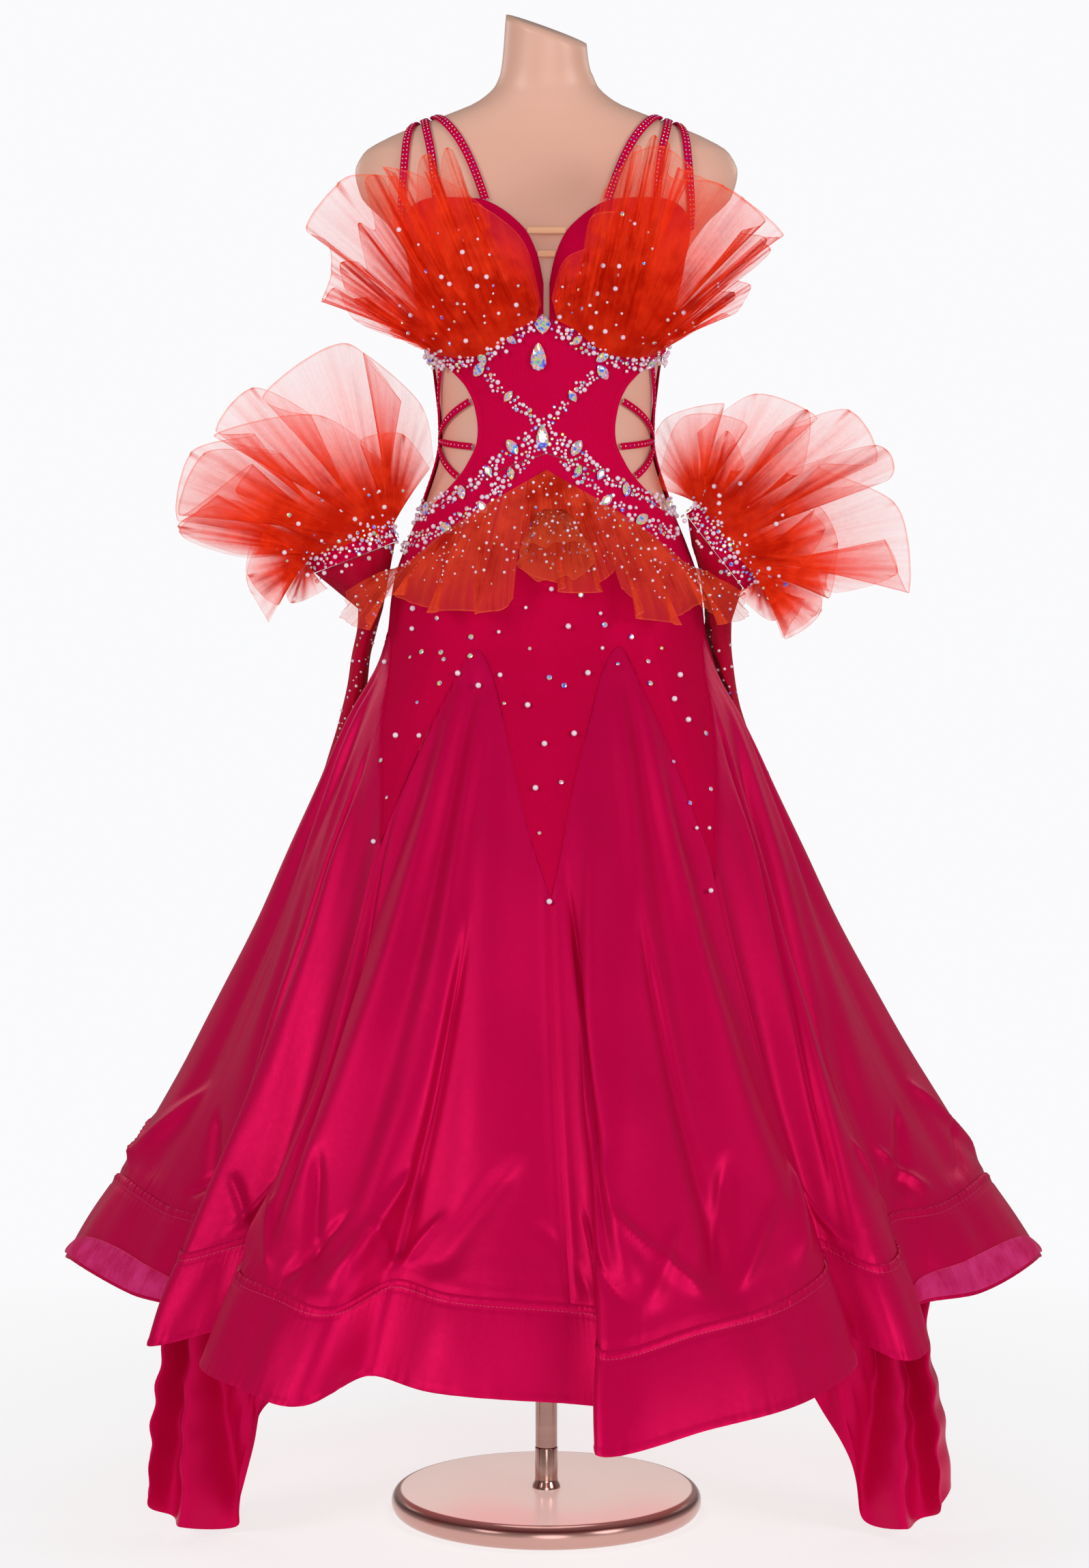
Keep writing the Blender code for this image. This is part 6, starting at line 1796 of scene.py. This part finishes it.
def trim(name, groups, pearls=0.66):
    """One joined mesh of pearls and one of stones from several groups of places, facings and sizes."""
    places, facing, sizes = (np.concatenate(part) for part in zip(*groups))
    pick = dice.random(len(places)) < pearls
    strew(f"{name}_pearls", PEARL, places[pick], facing[pick], sizes[pick], pearl)
    strew(f"{name}_stones", CHATON, places[~pick], facing[~pick], sizes[~pick] * 0.96, rainbow,
          smooth_faces=False)
    print(name, int(pick.sum()), "pearls,", int((~pick).sum()), "stones")


dice = np.random.default_rng(7)
kept = []

# %% Large stones
def set_stone(name, kind, spot, away, half_across, half_down, rise, turned):
    """One large cut stone, turned on the cloth by some degrees."""
    away = away / np.linalg.norm(away)
    up = np.array((math.sin(math.radians(turned)), 0, math.cos(math.radians(turned))))
    size = half_across, half_down, rise
    return strew(name, CUTS[kind], [spot + away * 0.0004], [away], size, rainbow, up, smooth_faces=False)


CENTRES = [("stone_bust_diamond", "diamond", -4, 1266, .0085, .0105),
           ("stone_bust_drop", "pear", -8, 1233, .0082, .0145),
           ("stone_waist_drop", "pear", -4, 1150, .0066, .0125)]
for node, kind, x, z, half_across, half_down in CENTRES:
    spot, away = on_front([(x / 1000, z / 1000)], 0.0016)
    stone = set_stone(f"cut_{node}", kind, spot[0], away[0], half_across, half_down, 0.0065, 0)
    stand_for(stone, node)
    kept.append((*spot[0], half_down * 0.72))
leaf_spots, leaf_away = on_front(np.array(LEAVES)[:, :2] / 1000, 0.001)
for number, (spot, away, (x, z, turned)) in enumerate(zip(leaf_spots, leaf_away, LEAVES)):
    size = 0.0070 + 0.0011 * ((number * 7) % 3)
    set_stone(f"set_stone_{number}", "leaf" if number % 3 else "diamond", spot, away, size * 0.60, size,
              0.0046, turned)
    kept.append((*spot, size * 0.8))
print(len(LEAVES) + len(CENTRES), "large stones")

# %% Bands of pearls along the lines
groups = []
for number, line in enumerate(LINES):
    corners = np.array(line).reshape(-1, 2)
    far = lengths_along(corners[None], 1)[0]
    count = int(far[-1] / 0.00042)
    along = np.sort(dice.uniform(0, far[-1], count))
    flat = np.stack([np.interp(along, far, corners[:, k]) for k in (0, 1)], -1)
    spread = (.0064, .0064, .0044, .0044, .0048, .0048, .0056, .0056, .0075)[number]
    flat += dice.normal(0, 0.62, flat.shape).clip(-1.1, 1.1) * spread
    order = dice.permutation(count)
    spots, away = on_front(flat[order], 0.0022 if number < 2 else 0.0)
    groups.append(sow(spots, away, dice.choice([.0014, .0018, .0023, .0026], count), kept))
trim("bodice_trim", groups)
spots, away = on_front(np.array(SCATTER).reshape(-1, 2), 0.0008)
trim("yoke_trim", [sow(spots, away, dice.choice([.0020, .0026, .0030], len(spots)), [])], pearls=0.45)

# %% Rows of rhinestones on the straps
rows_at, rows_facing = [], []
for name, (line, facing) in strap_lines.items():
    lattice = name.startswith("lattice")
    count = max(3, int(lengths_along(line[None], 1)[0, -1] / (0.0056 if lattice else 0.0048)))
    spots, turned = route_along(line, facing, count)
    side = beside(spots, turned)
    for offset in ((0.0,) if lattice else (-0.0019, 0.0019)):
        rows_at.append(spots + side * offset)
        rows_facing.append(turned)
rows_at, rows_facing = np.concatenate(rows_at), np.concatenate(rows_facing)
strew("strap_rhinestones", CHATON, rows_at, rows_facing, (.0008, .0008, .0009), rainbow,
      smooth_faces=False)
print(len(rows_at), "rhinestones on the straps")

# %% Pearls round the cuffs and scattered on the ruffles
groups, cuff_kept = [], []
for side, cuff in CUFFS.items():
    count = 420
    turned = dice.uniform(5, 175, count)
    level = dice.normal(0.15, 0.45, count).clip(-0.9, 1.3) * CUFF_HEIGHT
    spots = cuff_point(cuff, turned, level, 0 * turned + 0.0052)
    away = (cuff_point(cuff, turned, level, 0 * turned + 0.0152) - spots) / 0.01
    groups.append(sow(spots, away, dice.choice([.0014, .0019, .0025], count), cuff_kept))
trim("cuff_trim", groups, pearls=0.45)
groups = []
SOWN = [("ruffle_left_front", 74, 2, 20), ("ruffle_right_front", 74, 2, 20),
        ("bust_ruffle_left_front", 84, 3, 32), ("bust_ruffle_right_front", 84, 3, 32),
        ("waist_peplum_left", 230, 1, 30), ("waist_peplum_right", 230, 1, 30),
        ("waist_peplum_centre", 120, 1, 34), ("waist_loop", 110, 2, 30),
        ("mesh_gauntlet_left", 80, 20, 120), ("mesh_gauntlet_right", 80, 20, 120)]
for name, count, low, high in SOWN:
    points = laid[name]
    row = (low + (high - low) * dice.random(count) ** 1.5).astype(int)
    column = dice.integers(4, points.shape[1] - 4, count)
    if name.startswith("mesh"):
        column = dice.integers(*((42, 67) if name.endswith("left") else (6, 31)), count)
    spot = points[row, column]
    across = points[row, column + 2] - points[row, column - 2]
    down = points[row + 1, column] - points[row - 1, column]
    facing = of_length_one(np.cross(across, down))
    facing = facing * np.where(facing[:, 1] > 0, -1, 1)[:, None]
    big = name.startswith(("ruffle", "bust"))
    sizes = dice.choice([.0014, .0019, .0026] if big else [.0009, .0013, .0017], count)
    spaced = sow(spot, facing, sizes * 2.4, [])
    groups.append((spaced[0], spaced[1], spaced[2] / 2.4))
trim("ruffle_trim", groups)

# %% [markdown]
# Last, the size of the finished dress is printed.

# %% Sizes
low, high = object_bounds()
print("finished dress spans", [round(value, 3) for value in high - low])
